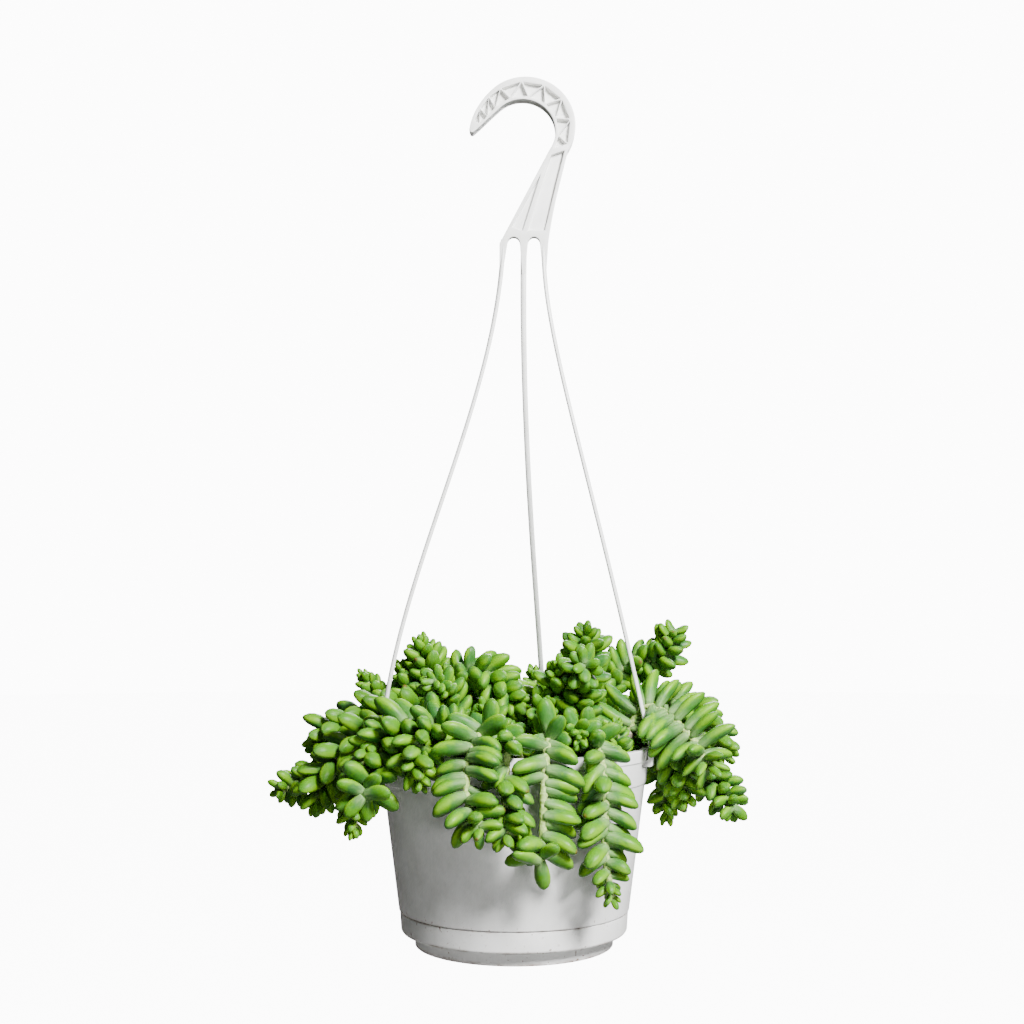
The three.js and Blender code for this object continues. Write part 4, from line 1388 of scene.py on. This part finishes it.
def piece_distances(a: np.ndarray, b: np.ndarray, c: np.ndarray, d: np.ndarray) -> np.ndarray:
    """The least distance from one straight piece, a to b, to each of many, c to d.

    The place along each is where the common normal meets it, held between its ends.

    Args:
        a: the start of the one.
        b: its end.
        c: the starts of the others, a row each.
        d: their ends.

    Returns:
        One distance for each row.
    """
    u, v, w = b - a, d - c, a - c
    uu, vv = u @ u, np.einsum("ij,ij->i", v, v)
    uv, uw, vw = v @ u, w @ u, np.einsum("ij,ij->i", v, w)
    det = uu * vv - uv * uv
    s = np.where(det > 1e-9, np.clip((uv * vw - uw * vv) / np.where(det > 1e-9, det, 1), 0, 1), 0)
    t = (uv * s + vw) / vv
    s = np.where(t < 0, np.clip(-uw / uu, 0, 1), np.where(t > 1, np.clip((uv - uw) / uu, 0, 1), s))
    t = np.clip(t, 0, 1)
    return np.linalg.norm(w + s[:, None] * u - t[:, None] * v, axis=1)


@dataclass(frozen=True)
class LeafForm:
    """The form of one leaf, plump and a little flatter on the side that faces the stem's tip.

    Attributes:
        wide: its width as a share of its length.
        thick: its thickness as a share of its length.
        root: the width of its root as a share of the full width.
        widest: where it reaches the full width.
        end: the share of the length over which its end rounds off.
        powers: the two powers of that rounding.
        flatness: the power that draws the section to a lens with a slight margin on both sides.
        halves: the depth of the section's two halves, of the one that faces the stem's tip first.
        sides: how many points go round it.
        rings: how many rings lie between its two ends.
    """

    wide: float = 0.5
    thick: float = 0.44
    root: float = 0.6
    widest: float = 0.6
    end: float = 0.42
    powers: tuple = (2.2, 0.52)
    flatness: float = 1.25
    halves: tuple = (0.84, 1.08)
    sides: int = 10
    rings: int = 8

    def swell(self, t: np.ndarray) -> np.ndarray:
        """The share of its full width at each place along.

        The root's width grows to the full width at widest by a sine. With u from 0 at the tip to 1 where
        the end begins, the end is (1 - (1 - u) ** p) ** q, an ellipse for powers of 2 and a half, and drawn
        out to a slight point by those that are a little larger.

        Args:
            t: the places, from 0 at the root to 1 at the tip.

        Returns:
            The shares.
        """
        near = self.root + (1 - self.root) * np.sin(np.pi / 2 * np.clip(t / self.widest, 0, 1))
        u = np.clip((1 - t) / self.end, 0, 1)
        p, q = self.powers
        return near * (1 - (1 - u) ** p) ** q

    def surfaces(self, leaves: list, seed: int) -> Surface:
        """All leaves of a stem as one surface.

        Point (leaf, i, j) is the leaf's middle line at t_i, moved by w_i cos a_j across the leaf and by
        h_i |sin a_j| ** flatness towards or away from the stem's tip, with a slow uneven swelling round it.

        Args:
            leaves: the leaves.
            seed: the seed of their unevenness.

        Returns:
            Their surface, with the values along, upper, edge, tone and youth.
        """
        rng = np.random.default_rng(seed)
        n = len(leaves)
        base, way, bend = (np.array([getattr(leaf, key) for leaf in leaves])
                           for key in ("base", "way", "bend"))
        length = np.array([leaf.length for leaf in leaves])
        over = np.cross(way, bend)
        turn = rng.normal(0, 0.12, n)[:, None]
        bend_turned = bend * np.cos(turn) + over * np.sin(turn)
        over = over * np.cos(turn) - bend * np.sin(turn)
        t = 0.5 - 0.5 * np.cos(np.pi * (np.arange(self.rings) + 0.55) / (self.rings + 0.1))
        a = 2 * np.pi * np.arange(self.sides) / self.sides
        plump = rng.uniform(0.94, 1.06, (n, 1, 1)) * np.array([leaf.slim for leaf in leaves])[:, None, None]
        # Short leaves are plumper for their length
        plump = plump * (1 + 0.12 * np.clip((20 - length) / 6, 0, 1))[:, None, None]
        lobes = 1 + 0.035 * np.sin(2 * a + rng.uniform(0, 6.28, (n, 1, 1))) \
            + 0.02 * np.sin(3 * a + 5 * t[:, None] + rng.uniform(0, 6.28, (n, 1, 1)))
        size = plump * lobes * self.swell(t)[:, None]
        wide = self.wide / 2 * size * np.cos(a)
        lens = np.sign(np.sin(a)) * np.abs(np.sin(a)) ** self.flatness
        high = self.thick / 2 * size * lens * np.where(lens > 0, *self.halves)
        middle = base[:, None] + length[:, None, None] * (
            t[:, None] * way[:, None] + Leaf.BEND * t[:, None] ** 2 * bend[:, None])
        rings = middle[:, :, None] + length[:, None, None, None] * (
            wide[..., None] * over[:, None, None] + high[..., None] * bend_turned[:, None, None])
        tip = base + length[:, None] * (way + Leaf.BEND * bend)
        points = np.concatenate([rings.reshape(n, -1, 3), base[:, None], tip[:, None]], 1)
        per_leaf = points.shape[1]
        ring = np.ones((self.rings, self.sides))
        values = {
            "along": np.tile(np.r_[(t[:, None] * ring).ravel(), 0, 1], n),
            "upper": np.tile(np.r_[((0.5 - 0.5 * np.sin(a)) * ring).ravel(), 0.5, 0.5], n),
            "edge": np.tile(np.r_[(np.cos(a) * ring).ravel(), 0, 0], n),
            "tone": np.repeat(rng.uniform(0, 1, n), per_leaf),
            "youth": np.repeat([1 - smooth(leaf.from_tip / 16) for leaf in leaves], per_leaf),
        }
        return Surface(points.reshape(-1, 3), tube_faces(self.rings, self.sides, Side.TURNED, n), values)


@dataclass(frozen=True)
class Plant:
    """The plant: its stems, and the rule that grows their leaves clear of the pot, the arms and each other.

    Attributes:
        pot: the pot that it grows in.
        arms: the middle lines of the hanger's arms.
        form: the form of its leaves.
        stem_radius: the radius of its stems.
        soil_top: how high the soil stands.
    """

    pot: Pot
    arms: tuple
    form: LeafForm = LeafForm()
    stem_radius: float = 2.0
    soil_top: float = 110.0

    # What a leaf keeps clear of the pot, the soil, other leaves, stems and arms
    POT_GAP = 0.4
    SOIL_GAP = 1.5
    GAP = 0.3
    ARM_ROOM = 2.4
    # Leaves touch softly, so their cores may come this near, as a share of their radii
    TOUCH = 0.86
    # The middle of the pot's rim, seen from above
    RIM_MIDDLE = 82.5
    # A direction that no stem runs along
    STEM_UP = (0.31, 0.83, 0.12)
    # Where a leaf has no room it turns aside, or leans, or stays smaller, in this order: turn, lean, size
    ASIDE = (
        (0, 0, 1), (22, 0, 1), (-22, 0, 1), (0, -22, 1), (20, -20, 0.95), (-20, -20, 0.95),
        (42, 0, 0.95), (-42, 0, 0.95), (0, 22, 0.95), (30, -35, 0.85), (-30, -35, 0.85), (62, -10, 0.85),
        (-62, -10, 0.85), (0, -40, 0.75), (30, -20, 0.65), (-30, -20, 0.65), (0, -30, 0.5),
    )
    # Places along a leaf with its radius there, as shares of its length
    BODY = ((0.2, 0.12), (0.34, 0.2), (0.5, 0.2), (0.65, 0.2), (0.86, 0.19), (0.98, 0.08))

    def pot_clearance(self, p: np.ndarray) -> float:
        """How far a point is from the pot and the soil.

        Above the rim it is the distance to the rim's flat top. Inside the pot it is the lesser of those to
        the rim's inside and to the soil, and outside it those to the wall and to the rim band.

        Args:
            p: the point.

        Returns:
            The distance in millimetres, below zero inside them.
        """
        pot = self.pot
        r, z = math.hypot(p[0], p[1]), p[2]
        over_soil = z - self.soil_top - self.SOIL_GAP
        if z >= pot.height:
            ring = math.hypot(max(pot.rim_inside - r, r - pot.rim_radius, 0), z - pot.height)
            return min(ring, over_soil) if r < pot.rim_inside else ring
        if r <= self.RIM_MIDDLE:
            return min(pot.rim_inside - r, over_soil)
        if z >= pot.rim_low:
            return r - pot.rim_radius
        collar = pot.wall_radius(pot.rim_low) + pot.collar_out
        wall = r - (collar if z >= pot.collar_low else pot.wall_radius(z))
        return min(wall, math.hypot(max(r - pot.rim_radius, 0), pot.rim_low - z))

    def is_clear(self, leaf: Leaf, stem: Stem, placed: list, stems: list) -> bool:
        """Whether a leaf has room.

        Args:
            leaf: the leaf that is tried.
            stem: the stem that it grows on.
            placed: the stems and leaves placed so far.
            stems: all stems.

        Returns:
            True where nothing is in the leaf's way.
        """
        if any(self.pot_clearance(leaf.point(t)) < r * leaf.length + self.POT_GAP for t, r in self.BODY):
            return False
        a, b, c = leaf.ends

        def meets(marks: np.ndarray, limit: float, around: float) -> bool:
            """Whether a line comes too near to the leaf.

            Args:
                marks: the points of the line.
                limit: the distance that is too near.
                around: how far beyond the leaf's own reach the line is looked at.

            Returns:
                True where it does.
            """
            far = np.linalg.norm(marks - leaf.middle, axis=1)
            near = np.minimum(far[:-1], far[1:]) <= leaf.reach + around
            if not near.any():
                return False
            start, end = marks[:-1][near], marks[1:][near]
            return bool((piece_distances(a, b, start, end) < limit).any()
                        or (piece_distances(b, c, start, end) < limit).any())

        for owner, other in placed:
            apart = np.linalg.norm(other.middle - leaf.middle)
            if owner is stem or apart > leaf.reach + other.reach + 0.5:
                continue
            near = self.TOUCH * (leaf.radius + other.radius) + self.GAP
            if meets(np.array(other.ends), near, other.length):
                return False
        room = leaf.radius + self.stem_radius + self.GAP
        if any(other is not stem and meets(other.marks, room, 10) for other in stems):
            return False
        return not any(meets(arm, leaf.radius + self.ARM_ROOM, 20) for arm in self.arms)

    def grow(self, stems: list) -> dict:
        """Places the leaves of every stem, on a golden spiral from its tip down to its bare foot.

        Each leaf's turn round the stem is drawn towards the nearer of the two rows, at 90 degrees to each
        side, by the stem's fan, which fades in from 10 to 30 mm from the tip. Its lean, its length and the
        gap to the next leaf grow from the tip's own values to the stem's by soft steps. Three draws a leaf
        vary the turn by 12 degrees, the lean by 8 degrees and the length by 12 % each way.

        Args:
            stems: the stems in order.

        Returns:
            The leaves of each stem by its name.
        """
        placed = []
        for number, stem in enumerate(stems):
            draws = Draws(1000 + 77 * number)
            from_tip, i = 0.6, 0
            while stem.length - from_tip > stem.start:
                j1, j2, j3 = draws.next(), draws.next(), draws.next()
                turn = (i * GOLDEN_ANGLE + stem.twist) % 360
                turn -= 360 if turn > 180 else 0
                side = 90 if turn >= 0 else -90
                in_rows = stem.fan * smooth((from_tip - 10) / 20)
                in_rows *= 1 - smooth((from_tip - stem.rows) / 10)
                turn = side + (turn - side) * (1 - in_rows) + (j1 - 0.5) * 24
                lean = stem.open + (stem.lean - stem.open) * smooth((from_tip + 1.5) / 11) \
                    + (j2 - 0.5) * 16 * smooth(from_tip / 8)
                length = stem.leaf * (stem.tip + (1 - stem.tip) * smooth((from_tip + 1) / stem.taper)) \
                    * (0.88 + 0.24 * j3) * (1 - 0.12 * smooth((from_tip - 60) / 60))
                is_bare = side > 0 and stem.bare[0] < from_tip < stem.bare[1]
                for aside, tilt, size in () if is_bare else self.ASIDE:
                    leaf = self.leaf_at(stem, from_tip, turn + aside, lean + tilt, length * size)
                    if self.is_clear(leaf, stem, placed, stems):
                        placed.append((stem, leaf))
                        break
                from_tip += stem.tip_gap + (stem.gap - stem.tip_gap) * smooth(from_tip / 22)
                i += 1
        return {stem.name: [leaf for owner, leaf in placed if owner is stem] for stem in stems}

    @staticmethod
    def leaf_at(stem: Stem, from_tip: float, turn: float, lean: float, length: float) -> Leaf:
        """A leaf at a place on its stem.

        Args:
            stem: the stem.
            from_tip: how far from the stem's tip.
            turn: the turn round the stem, in degrees from the way out.
            lean: the angle to the stem, in degrees.
            length: the leaf's length.

        Returns:
            The leaf.
        """
        place, along, out, across = stem.frame(stem.length - from_tip)
        a, e = math.radians(turn), math.radians(lean)
        way = along * math.cos(e) + math.sin(e) * (out * math.cos(a) + across * math.sin(a))
        bend = along - way * (along @ way)
        return Leaf(place, way, bend / np.linalg.norm(bend), length, from_tip, stem.slim)

    def stem_surface(self, stem: Stem, seed: int) -> Surface:
        """The stem itself: a tube with a rounded end, knobbly where leaves grow.

        Three waves of 9 to 2.3 mm swell its radius along it, it is a sixth thicker where leaves grow, and it
        rounds off to a small end over the last 2.5 mm.

        Args:
            stem: the stem.
            seed: the seed of its unevenness.

        Returns:
            The tube's surface.
        """
        rng = np.random.default_rng(seed)
        s = np.linspace(0, stem.length, int(stem.length / 1.2) + 2)
        line = np.stack([np.interp(s, stem.along, stem.line[:, k]) for k in range(3)], -1)
        waves = sum(0.07 * np.sin(2 * np.pi * s / w + rng.uniform(0, 6.28)) for w in (9.0, 4.1, 2.3))
        waves = waves + 0.16 * np.clip((s - stem.start) / 6, 0, 1)
        radii = 0.96 * self.stem_radius * (1 + waves) * np.sqrt(np.clip((stem.length - s) / 2.5, 0.02, 1))
        return swept(line, radii, 12, self.STEM_UP)

    def build(self, stems: list, leaf_skin: bpy.types.Material, stem_skin: bpy.types.Material,
              bark: bpy.types.Material, low: np.ndarray, high: np.ndarray) -> None:
        """Grows the plant and makes a piece for each stem.

        Args:
            stems: the stems in order.
            leaf_skin: the leaves' material.
            stem_skin: the stems' material.
            bark: the bare stem's material.
            low: the lowest corner that the plant may reach.
            high: the highest.
        """
        leaves = self.grow(stems)
        for number, stem in enumerate(stems):
            tube = self.stem_surface(stem, number)
            mine = leaves[stem.name]
            if not mine:
                settle(mesh_object(stem.name + "_piece", tube), stem.name, "bark", bark)
                continue
            tube.slots = np.ones(len(tube.faces), int)
            surface = self.form.surfaces(mine, 500 + number).joined(tube)
            surface.points = np.clip(surface.points, low, high)
            piece = mesh_object(stem.name + "_piece", surface)
            settle(piece, stem.name, "leaf", leaf_skin, stem_skin)
        log.info("leaves: %d", sum(len(v) for v in leaves.values()))


STEMS = [
    Stem("stem_front_left", (-8, -40), [(-13, -58, 131), (-20, -76, 134), (-25, -89, 124), (-27, -95, 110),
         (-25, -99, 96), (-18, -107, 83)], leaf=22, gap=3.5, lean=84, fan=0.9, twist=20, tip=0.56, open=64,
         tip_gap=1.2, rows=50),
    Stem("stem_front_centre", (22, -42), [(22, -60, 130), (20, -77, 132), (18, -89, 122), (16.5, -94, 104),
         (16, -95, 84), (15, -97, 72), (14, -104, 66)], leaf=21.5, gap=3.6, lean=86, fan=0.86, twist=60,
         tip=0.8, open=80, tip_gap=1.9, rows=56, bare=(20, 48)),
    Stem("stem_front_right", (39, -36), [(42, -52, 129), (47, -68, 129), (50.5, -78, 116), (52, -82, 96),
         (51.5, -83, 70), (55, -84, 42)], leaf=20.5, gap=2.8, lean=80, fan=0.6, twist=10, tip=0.34, open=50,
         taper=34, rows=78, start=32),
    Stem("stem_left_front", (-38, -24), [(-46, -31, 129), (-60, -43, 136), (-73, -53, 130), (-81, -59, 117),
         (-85, -66, 106), (-86, -80, 99)], leaf=24, gap=2.9, lean=82, fan=0.3, twist=100, tip=0.7, open=76,
         tip_gap=1.5),
    Stem("stem_right_long", (69, -14), [(71, -15, 131), (80, -18, 146), (91, -23, 144), (102, -29, 135),
         (111, -34, 124), (117, -39, 111)], leaf=26, gap=2.8, lean=95, fan=0.88, start=31,
         face=(0.1, -1, 0.35), tip=0.5, open=50, slim=0.76),
    Stem("stem_right_mound", (36, -16), [(38, -20, 137), (41, -26, 160), (42, -33, 169), (42, -47, 174)],
         leaf=18, gap=1.5, lean=78, twist=40, tip=0.62, open=62, tip_gap=1.1),
    Stem("stem_left_down", (-52, -6), [(-60, -10, 128), (-82, -14, 133), (-104, -16, 121), (-116, -17, 104),
         (-120, -16, 88)], leaf=22.5, gap=2.6, lean=76, fan=0.3, tip=0.45),
    Stem("stem_left_upper", (-44, 12), [(-54, 15, 133), (-72, 17, 142), (-92, 17, 140), (-111, 16, 131),
         (-125, 13, 120)], leaf=22.5, gap=2.5, lean=72, fan=0.35, twist=50, tip=0.5, open=34),
    Stem("stem_left_mound", (-34, 4), [(-38, 6, 145), (-34, 3, 163), (-21, -3, 168), (-8, -10, 157),
         (4, -16, 146)], leaf=18.5, gap=1.4, lean=72, twist=15, tip=0.56, slim=1.12),
    Stem("stem_left_rosette", (-30, -14), [(-36, -18, 138), (-41, -23, 152), (-45, -31, 160),
         (-49, -42, 163)], leaf=15.5, gap=1.6, lean=74, twist=75, tip=0.5, open=56),
    Stem("stem_left_upright", (-36, 30), [(-43, 28, 140), (-53, 26, 163), (-60, 25, 185)], leaf=18, gap=1.5,
         lean=66, twist=130, tip=0.45),
    Stem("stem_left_small", (-52, 38), [(-63, 40, 130), (-82, 44, 144), (-101, 45, 163)], leaf=12.5,
         gap=1.6, lean=62, twist=200, tip=0.5),
    Stem("stem_right_upright", (48, 16), [(48, 18, 145), (47, 20, 170), (46, 12, 192)], leaf=20, gap=1.6,
         lean=72, twist=250, tip=0.5, open=44),
    Stem("stem_right_back", (54, 36), [(59, 42, 140), (67, 46, 160), (78, 46, 171), (91, 42, 173),
         (101, 36, 180), (105, 30, 193)], leaf=17, gap=1.9, lean=72, fan=0.1, twist=310, tip=0.58, open=58,
         tip_gap=1.1),
    Stem("stem_right_middle", (62, 6), [(73, 8, 133), (91, 9, 147), (109, 8, 146), (123, 3, 134),
         (132, -4, 114)], leaf=18.5, gap=2.3, lean=68, fan=0.2, twist=20, tip=0.45, open=44),
    Stem("stem_right_low", (64, 20), [(74, 22, 129), (94, 22, 129), (115, 18, 115), (130, 9, 95),
         (137, -6, 83)], leaf=17.5, gap=2.2, lean=72, fan=0.2, twist=160, tip=0.66, open=72, tip_gap=1.3),
    Stem("stem_right_dark", (58, 26), [(70, 33, 127), (84, 38, 126), (96, 37, 111), (100, 34, 92),
         (99, 32, 73)], leaf=17.5, gap=2.2, lean=76, fan=0.2, twist=230),
    Stem("stem_far_left", (-60, 18), [(-72, 24, 126), (-92, 27, 126), (-113, 21, 112), (-133, 12, 99),
         (-149, 4, 92)], leaf=16, gap=2.4, lean=74, fan=0.1, twist=80, tip=0.55, open=60, tip_gap=1.1),
    Stem("stem_back_left", (-30, 52), [(-36, 66, 128), (-44, 82, 128), (-50, 92, 114), (-50, 96, 94),
         (-47, 95, 72)], leaf=18.5, gap=2.4, lean=76, fan=0.3, twist=80),
    Stem("stem_back_centre", (-2, 50), [(-3, 66, 130), (-4, 82, 131), (-5, 94, 118), (-4, 97, 98),
         (-2, 96, 76), (-2, 93, 56)], leaf=20, gap=2.9, lean=80, fan=0.5, twist=10, tip=0.45, open=44),
    Stem("stem_back_right", (34, 48), [(42, 60, 129), (53, 74, 129), (61, 84, 115), (63, 87, 96),
         (61, 86, 78)], leaf=18.5, gap=2.5, lean=76, fan=0.3, twist=140, tip=0.45, open=40),
    Stem("stem_back_mound", (6, 22), [(5, 26, 136), (0, 36, 148), (-8, 50, 150), (-16, 62, 142)], leaf=18,
         gap=1.7, lean=76, twist=60, tip=0.45),
    Stem("stem_centre_small", (10, -6), [(12, -8, 130), (16, -18, 142), (20, -35, 148)], leaf=16, gap=1.6,
         lean=74, twist=180, open=36),
    Stem("stem_front_low", (4, -60), [(2, -69, 127), (-2, -80, 131), (-4, -90, 124), (-5, -95, 110),
         (-5, -99, 94), (-4, -105, 77)], leaf=18.5, gap=2.2, lean=76, twist=300, fan=0.3, tip=0.5, open=52,
         start=46),
    Stem("stem_front_short", (31, -57), [(33, -63, 126), (36, -73, 135), (37, -83, 131)], leaf=16.5,
         gap=1.9, lean=72, twist=120, open=36),
    Stem("stem_left_low", (-28, -46), [(-34, -52, 128), (-46, -61, 136), (-55, -71, 131), (-57, -78, 118),
         (-55, -81, 107)], leaf=18.5, gap=1.9, lean=74, twist=210, open=36),
    Stem("stem_right_short", (61, -35), [(61, -36, 122), (62, -39, 137)], leaf=13.5, gap=1.6, lean=68,
         twist=30),
    Stem("stem_inner_front", (-12, -20), [(-15, -27, 130), (-18, -38, 147)], leaf=16.5, gap=1.6, lean=74,
         twist=330, open=34),
    Stem("stem_inner_left", (-16, 18), [(-17, 22, 132), (-20, 30, 150)], leaf=15.5, gap=1.6, lean=74,
         twist=110),
    Stem("stem_inner_right", (22, 10), [(21, 12, 134), (17, 15, 152), (12, 16, 166)], leaf=15.5, gap=1.6,
         lean=72, twist=70),
    Stem("stem_back_low_left", (-14, 66), [(-15, 70, 124), (-20, 79, 136)], leaf=16, gap=1.8, lean=72,
         twist=160),
    Stem("stem_back_low_right", (14, 64), [(14, 68, 124), (12, 78, 136)], leaf=16, gap=1.8, lean=72,
         twist=240),
    Stem("stem_left_edge", (-62, -28), [(-67, -33, 126), (-77, -46, 131), (-88, -58, 120), (-92, -63, 102),
         (-93, -67, 78)], leaf=14.5, gap=2.1, lean=70, twist=350),
    Stem("stem_back_edge_right", (56, 49), [(59, 53, 124), (67, 61, 136)], leaf=15.5, gap=1.7, lean=72,
         twist=20),
    Stem("stem_back_edge_left", (-52, 54), [(-55, 57, 124), (-62, 65, 136)], leaf=15.5, gap=1.7, lean=72,
         twist=280),
    Stem("stem_left_behind", (-46, 24), [(-54, 27, 132), (-66, 29, 152), (-73, 29, 170)], leaf=16, gap=1.6,
         lean=68, twist=40),
    Stem("stem_right_inner", (24, -14), [(25, -16, 135), (27, -21, 154), (28, -30, 171)], leaf=16.5,
         gap=1.6, lean=74, twist=90, tip=0.5, open=34),
    Stem("stem_right_under", (71, 3), [(77, 1, 126), (89, -5, 132), (98, -11, 122), (103, -16, 105),
         (105, -20, 89)], leaf=17.5, gap=2.2, lean=74, fan=0.2, twist=110, tip=0.5, open=50),
    Stem("stem_bare", (69, -26), [(70, -26.5, 122), (71, -27, 132)], leaf=13, gap=1.6, lean=70, start=99),
]


# The soil

@dataclass(frozen=True)
class Soil:
    """The soil: a crumbly, slightly domed top over a body that stands clear of the pot's inside.

    Attributes:
        pot: the pot that holds it.
        edge: how high it stands at the pot's wall, before it is sunk.
        top: how high it stands in the middle, before it is sunk.
        sunk: how far its whole top is lowered, so its highest crumbs stay in the plain soil's height.
        crumb: the height of a crumb.
        wall_gap: how far the soil's top edge stands from the rim's inside.
        side_gap: how far its sides stand inside the pot's outer wall.
        side_heights: the heights of the two rings of its sides.
        foot: radii and heights round its lowest part.
        bottom: the height of its underside.
        rings: how many rings the top has.
        segments: how many stretches go round.
    """

    pot: Pot
    edge: float = 108.0
    top: float = 110.0
    sunk: float = 1.0
    crumb: float = 0.9
    wall_gap: float = 1.9
    side_gap: float = 2.2
    side_heights: tuple = (95.5, 23.9)
    foot: tuple = ((64.5, 20.7), (64.2, 13.7))
    bottom: float = 13.7
    rings: int = 60
    segments: int = 180

    def build(self, earth: bpy.types.Material) -> None:
        """Makes the soil: a heightfield over a turned body.

        The top's height is a shallow dome plus crumbs, a sum of waves of random direction and length that
        fades out over the last 8 mm before the wall.

        Args:
            earth: the soil's material.
        """
        rng = np.random.default_rng(7)
        rim = self.pot.rim_inside - self.wall_gap
        r = np.linspace(0, rim, self.rings + 1)[1:, None]
        a = np.linspace(0, 2 * np.pi, self.segments, endpoint=False)
        x, y = r * np.cos(a), r * np.sin(a)
        waves = sum(np.sin(x * kx + y * ky + p) for kx, ky, p in rng.normal(0, 0.9, (14, 3))) / 5
        dome = (self.top - self.edge) * np.clip(1.2 - r / rim, 0, 1)
        crumbs = self.crumb * waves * np.clip((rim - r) / 8, 0, 1)
        top = np.stack([x, y, self.edge + dome + crumbs - self.sunk], -1)
        sides = [(self.pot.wall_radius(z) - self.side_gap, z) for z in self.side_heights]
        walls = [np.stack([r0 * np.cos(a), r0 * np.sin(a), 0 * a + z], -1) for r0, z in (*sides, *self.foot)]
        rings = np.concatenate([top, walls])
        ends = [[0, 0, self.top - self.sunk], [0, 0, self.bottom]]
        faces = tube_faces(len(rings), self.segments, Side.TURNED)
        surface = Surface(np.concatenate([rings.reshape(-1, 3), ends]), faces)
        settle(mesh_object("soil_crumbs", surface, sharp=60), "soil", "soil", earth)


# The studio

@dataclass(frozen=True)
class Studio:
    """The floor, the lights and the camera at the photograph's angle.

    Attributes:
        camera_place: where the camera stands.
        camera_pitch: how far it looks up, in degrees.
        lens: its focal length.
        sensor: the width of its sensor.
        floor_depth: how far the floor lies below the pot.
        floor_radius: its radius.
        floor_thick: its thickness.
        aim: the height that the lamps look at.
        distance: how far they stand from there.
        lamps: for each its name, degrees to the right of the camera, degrees above the horizon, width and
            power in watts.
        fill: how bright the white surroundings are to the plant.
        backdrop: how bright they are to the camera.
    """

    camera_place: tuple = (-1.28, -856.4, 195.3)
    camera_pitch: float = 4.916
    lens: float = 47.2
    sensor: float = 36.0
    floor_depth: float = 260.0
    floor_radius: float = 9000.0
    floor_thick: float = 4.0
    aim: float = 150.0
    distance: float = 1500.0
    lamps: tuple = (
        ("key", 33.0, 37.0, 420.0, 91.0),
        ("top", -20.0, 72.0, 900.0, 4.0),
        ("low", 24.0, -12.0, 500.0, 8.0),
        ("back", 168.0, 28.0, 900.0, 27.0),
    )
    fill: float = 0.056
    backdrop: float = 12.0

    def lamp(self, name: str, azimuth: float, height: float, size: float, power: float) -> None:
        """A round area light that looks at the plant.

        Args:
            name: its name.
            azimuth: degrees to the right of the camera.
            height: degrees above the horizon.
            size: its width.
            power: its power in watts.
        """
        a, h = math.radians(azimuth), math.radians(height)
        away = np.array([math.sin(a) * math.cos(h), -math.cos(a) * math.cos(h), math.sin(h)])
        light = bpy.data.lights.new(name, "AREA")
        light.energy, light.shape, light.size = power, "DISK", size * MM
        lamp = linked(name, light)
        lamp.location = (np.array([0, 0, self.aim]) + away * self.distance) * MM
        lamp.rotation_euler = (math.pi / 2 - h, 0, a)

    def build(self, paper: bpy.types.Material) -> None:
        """Sets the camera, the lights, the white surroundings and the floor.

        Args:
            paper: the floor's material.
        """
        camera = bpy.data.cameras.new("camera")
        camera.lens, camera.sensor_width, camera.clip_start = self.lens, self.sensor, 0.01
        eye = linked("camera", camera)
        eye.location = np.array(self.camera_place) * MM
        eye.rotation_euler = (math.radians(90 + self.camera_pitch), 0, 0)
        bpy.context.scene.camera = eye
        for lamp in self.lamps:
            self.lamp(*lamp)
        world = bpy.data.worlds.new("studio")
        world.use_nodes = True
        seen = add(world.node_tree, "LightPath", out="Is Camera Ray")
        light = {"Value": seen, "To Min": self.fill, "To Max": self.backdrop}
        feed(world.node_tree.nodes["Background"], {
            "Color": (1.0, 1.0, 1.0, 1.0), "Strength": add(world.node_tree, "MapRange", light)})
        bpy.context.scene.world = world
        low, high = -self.floor_depth - self.floor_thick, -self.floor_depth
        profile = [(0, low), (self.floor_radius, low), (self.floor_radius, high), (0, high)]
        floor = mesh_object("floor", turned(np.array(profile), 96), SHARP)
        floor.data.materials.append(paper)
        floor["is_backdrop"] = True


def main() -> None:
    """Builds the studio and every piece of the plant."""
    cad_low, cad_high = (np.array(corner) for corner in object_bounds())
    Studio().build(StudioPaper().make())
    plastic = MouldedPolypropylene().make()
    pot, hanger = Pot(), Hanger()
    pot.build(plastic)
    Saucer().build(plastic)
    hanger.build(plastic)
    Soil(pot).build(PottingSoil().make())
    plant = Plant(pot, tuple(hanger.arm_line(n, 30) for n in range(len(STATIONS))))
    reach = (cad_low + INSET) / MM, (cad_high - INSET) / MM
    plant.build(STEMS, LeafSkin().make(), StemSkin().make(), StemBark().make(), *reach)


if __name__ == "__main__":
    main()
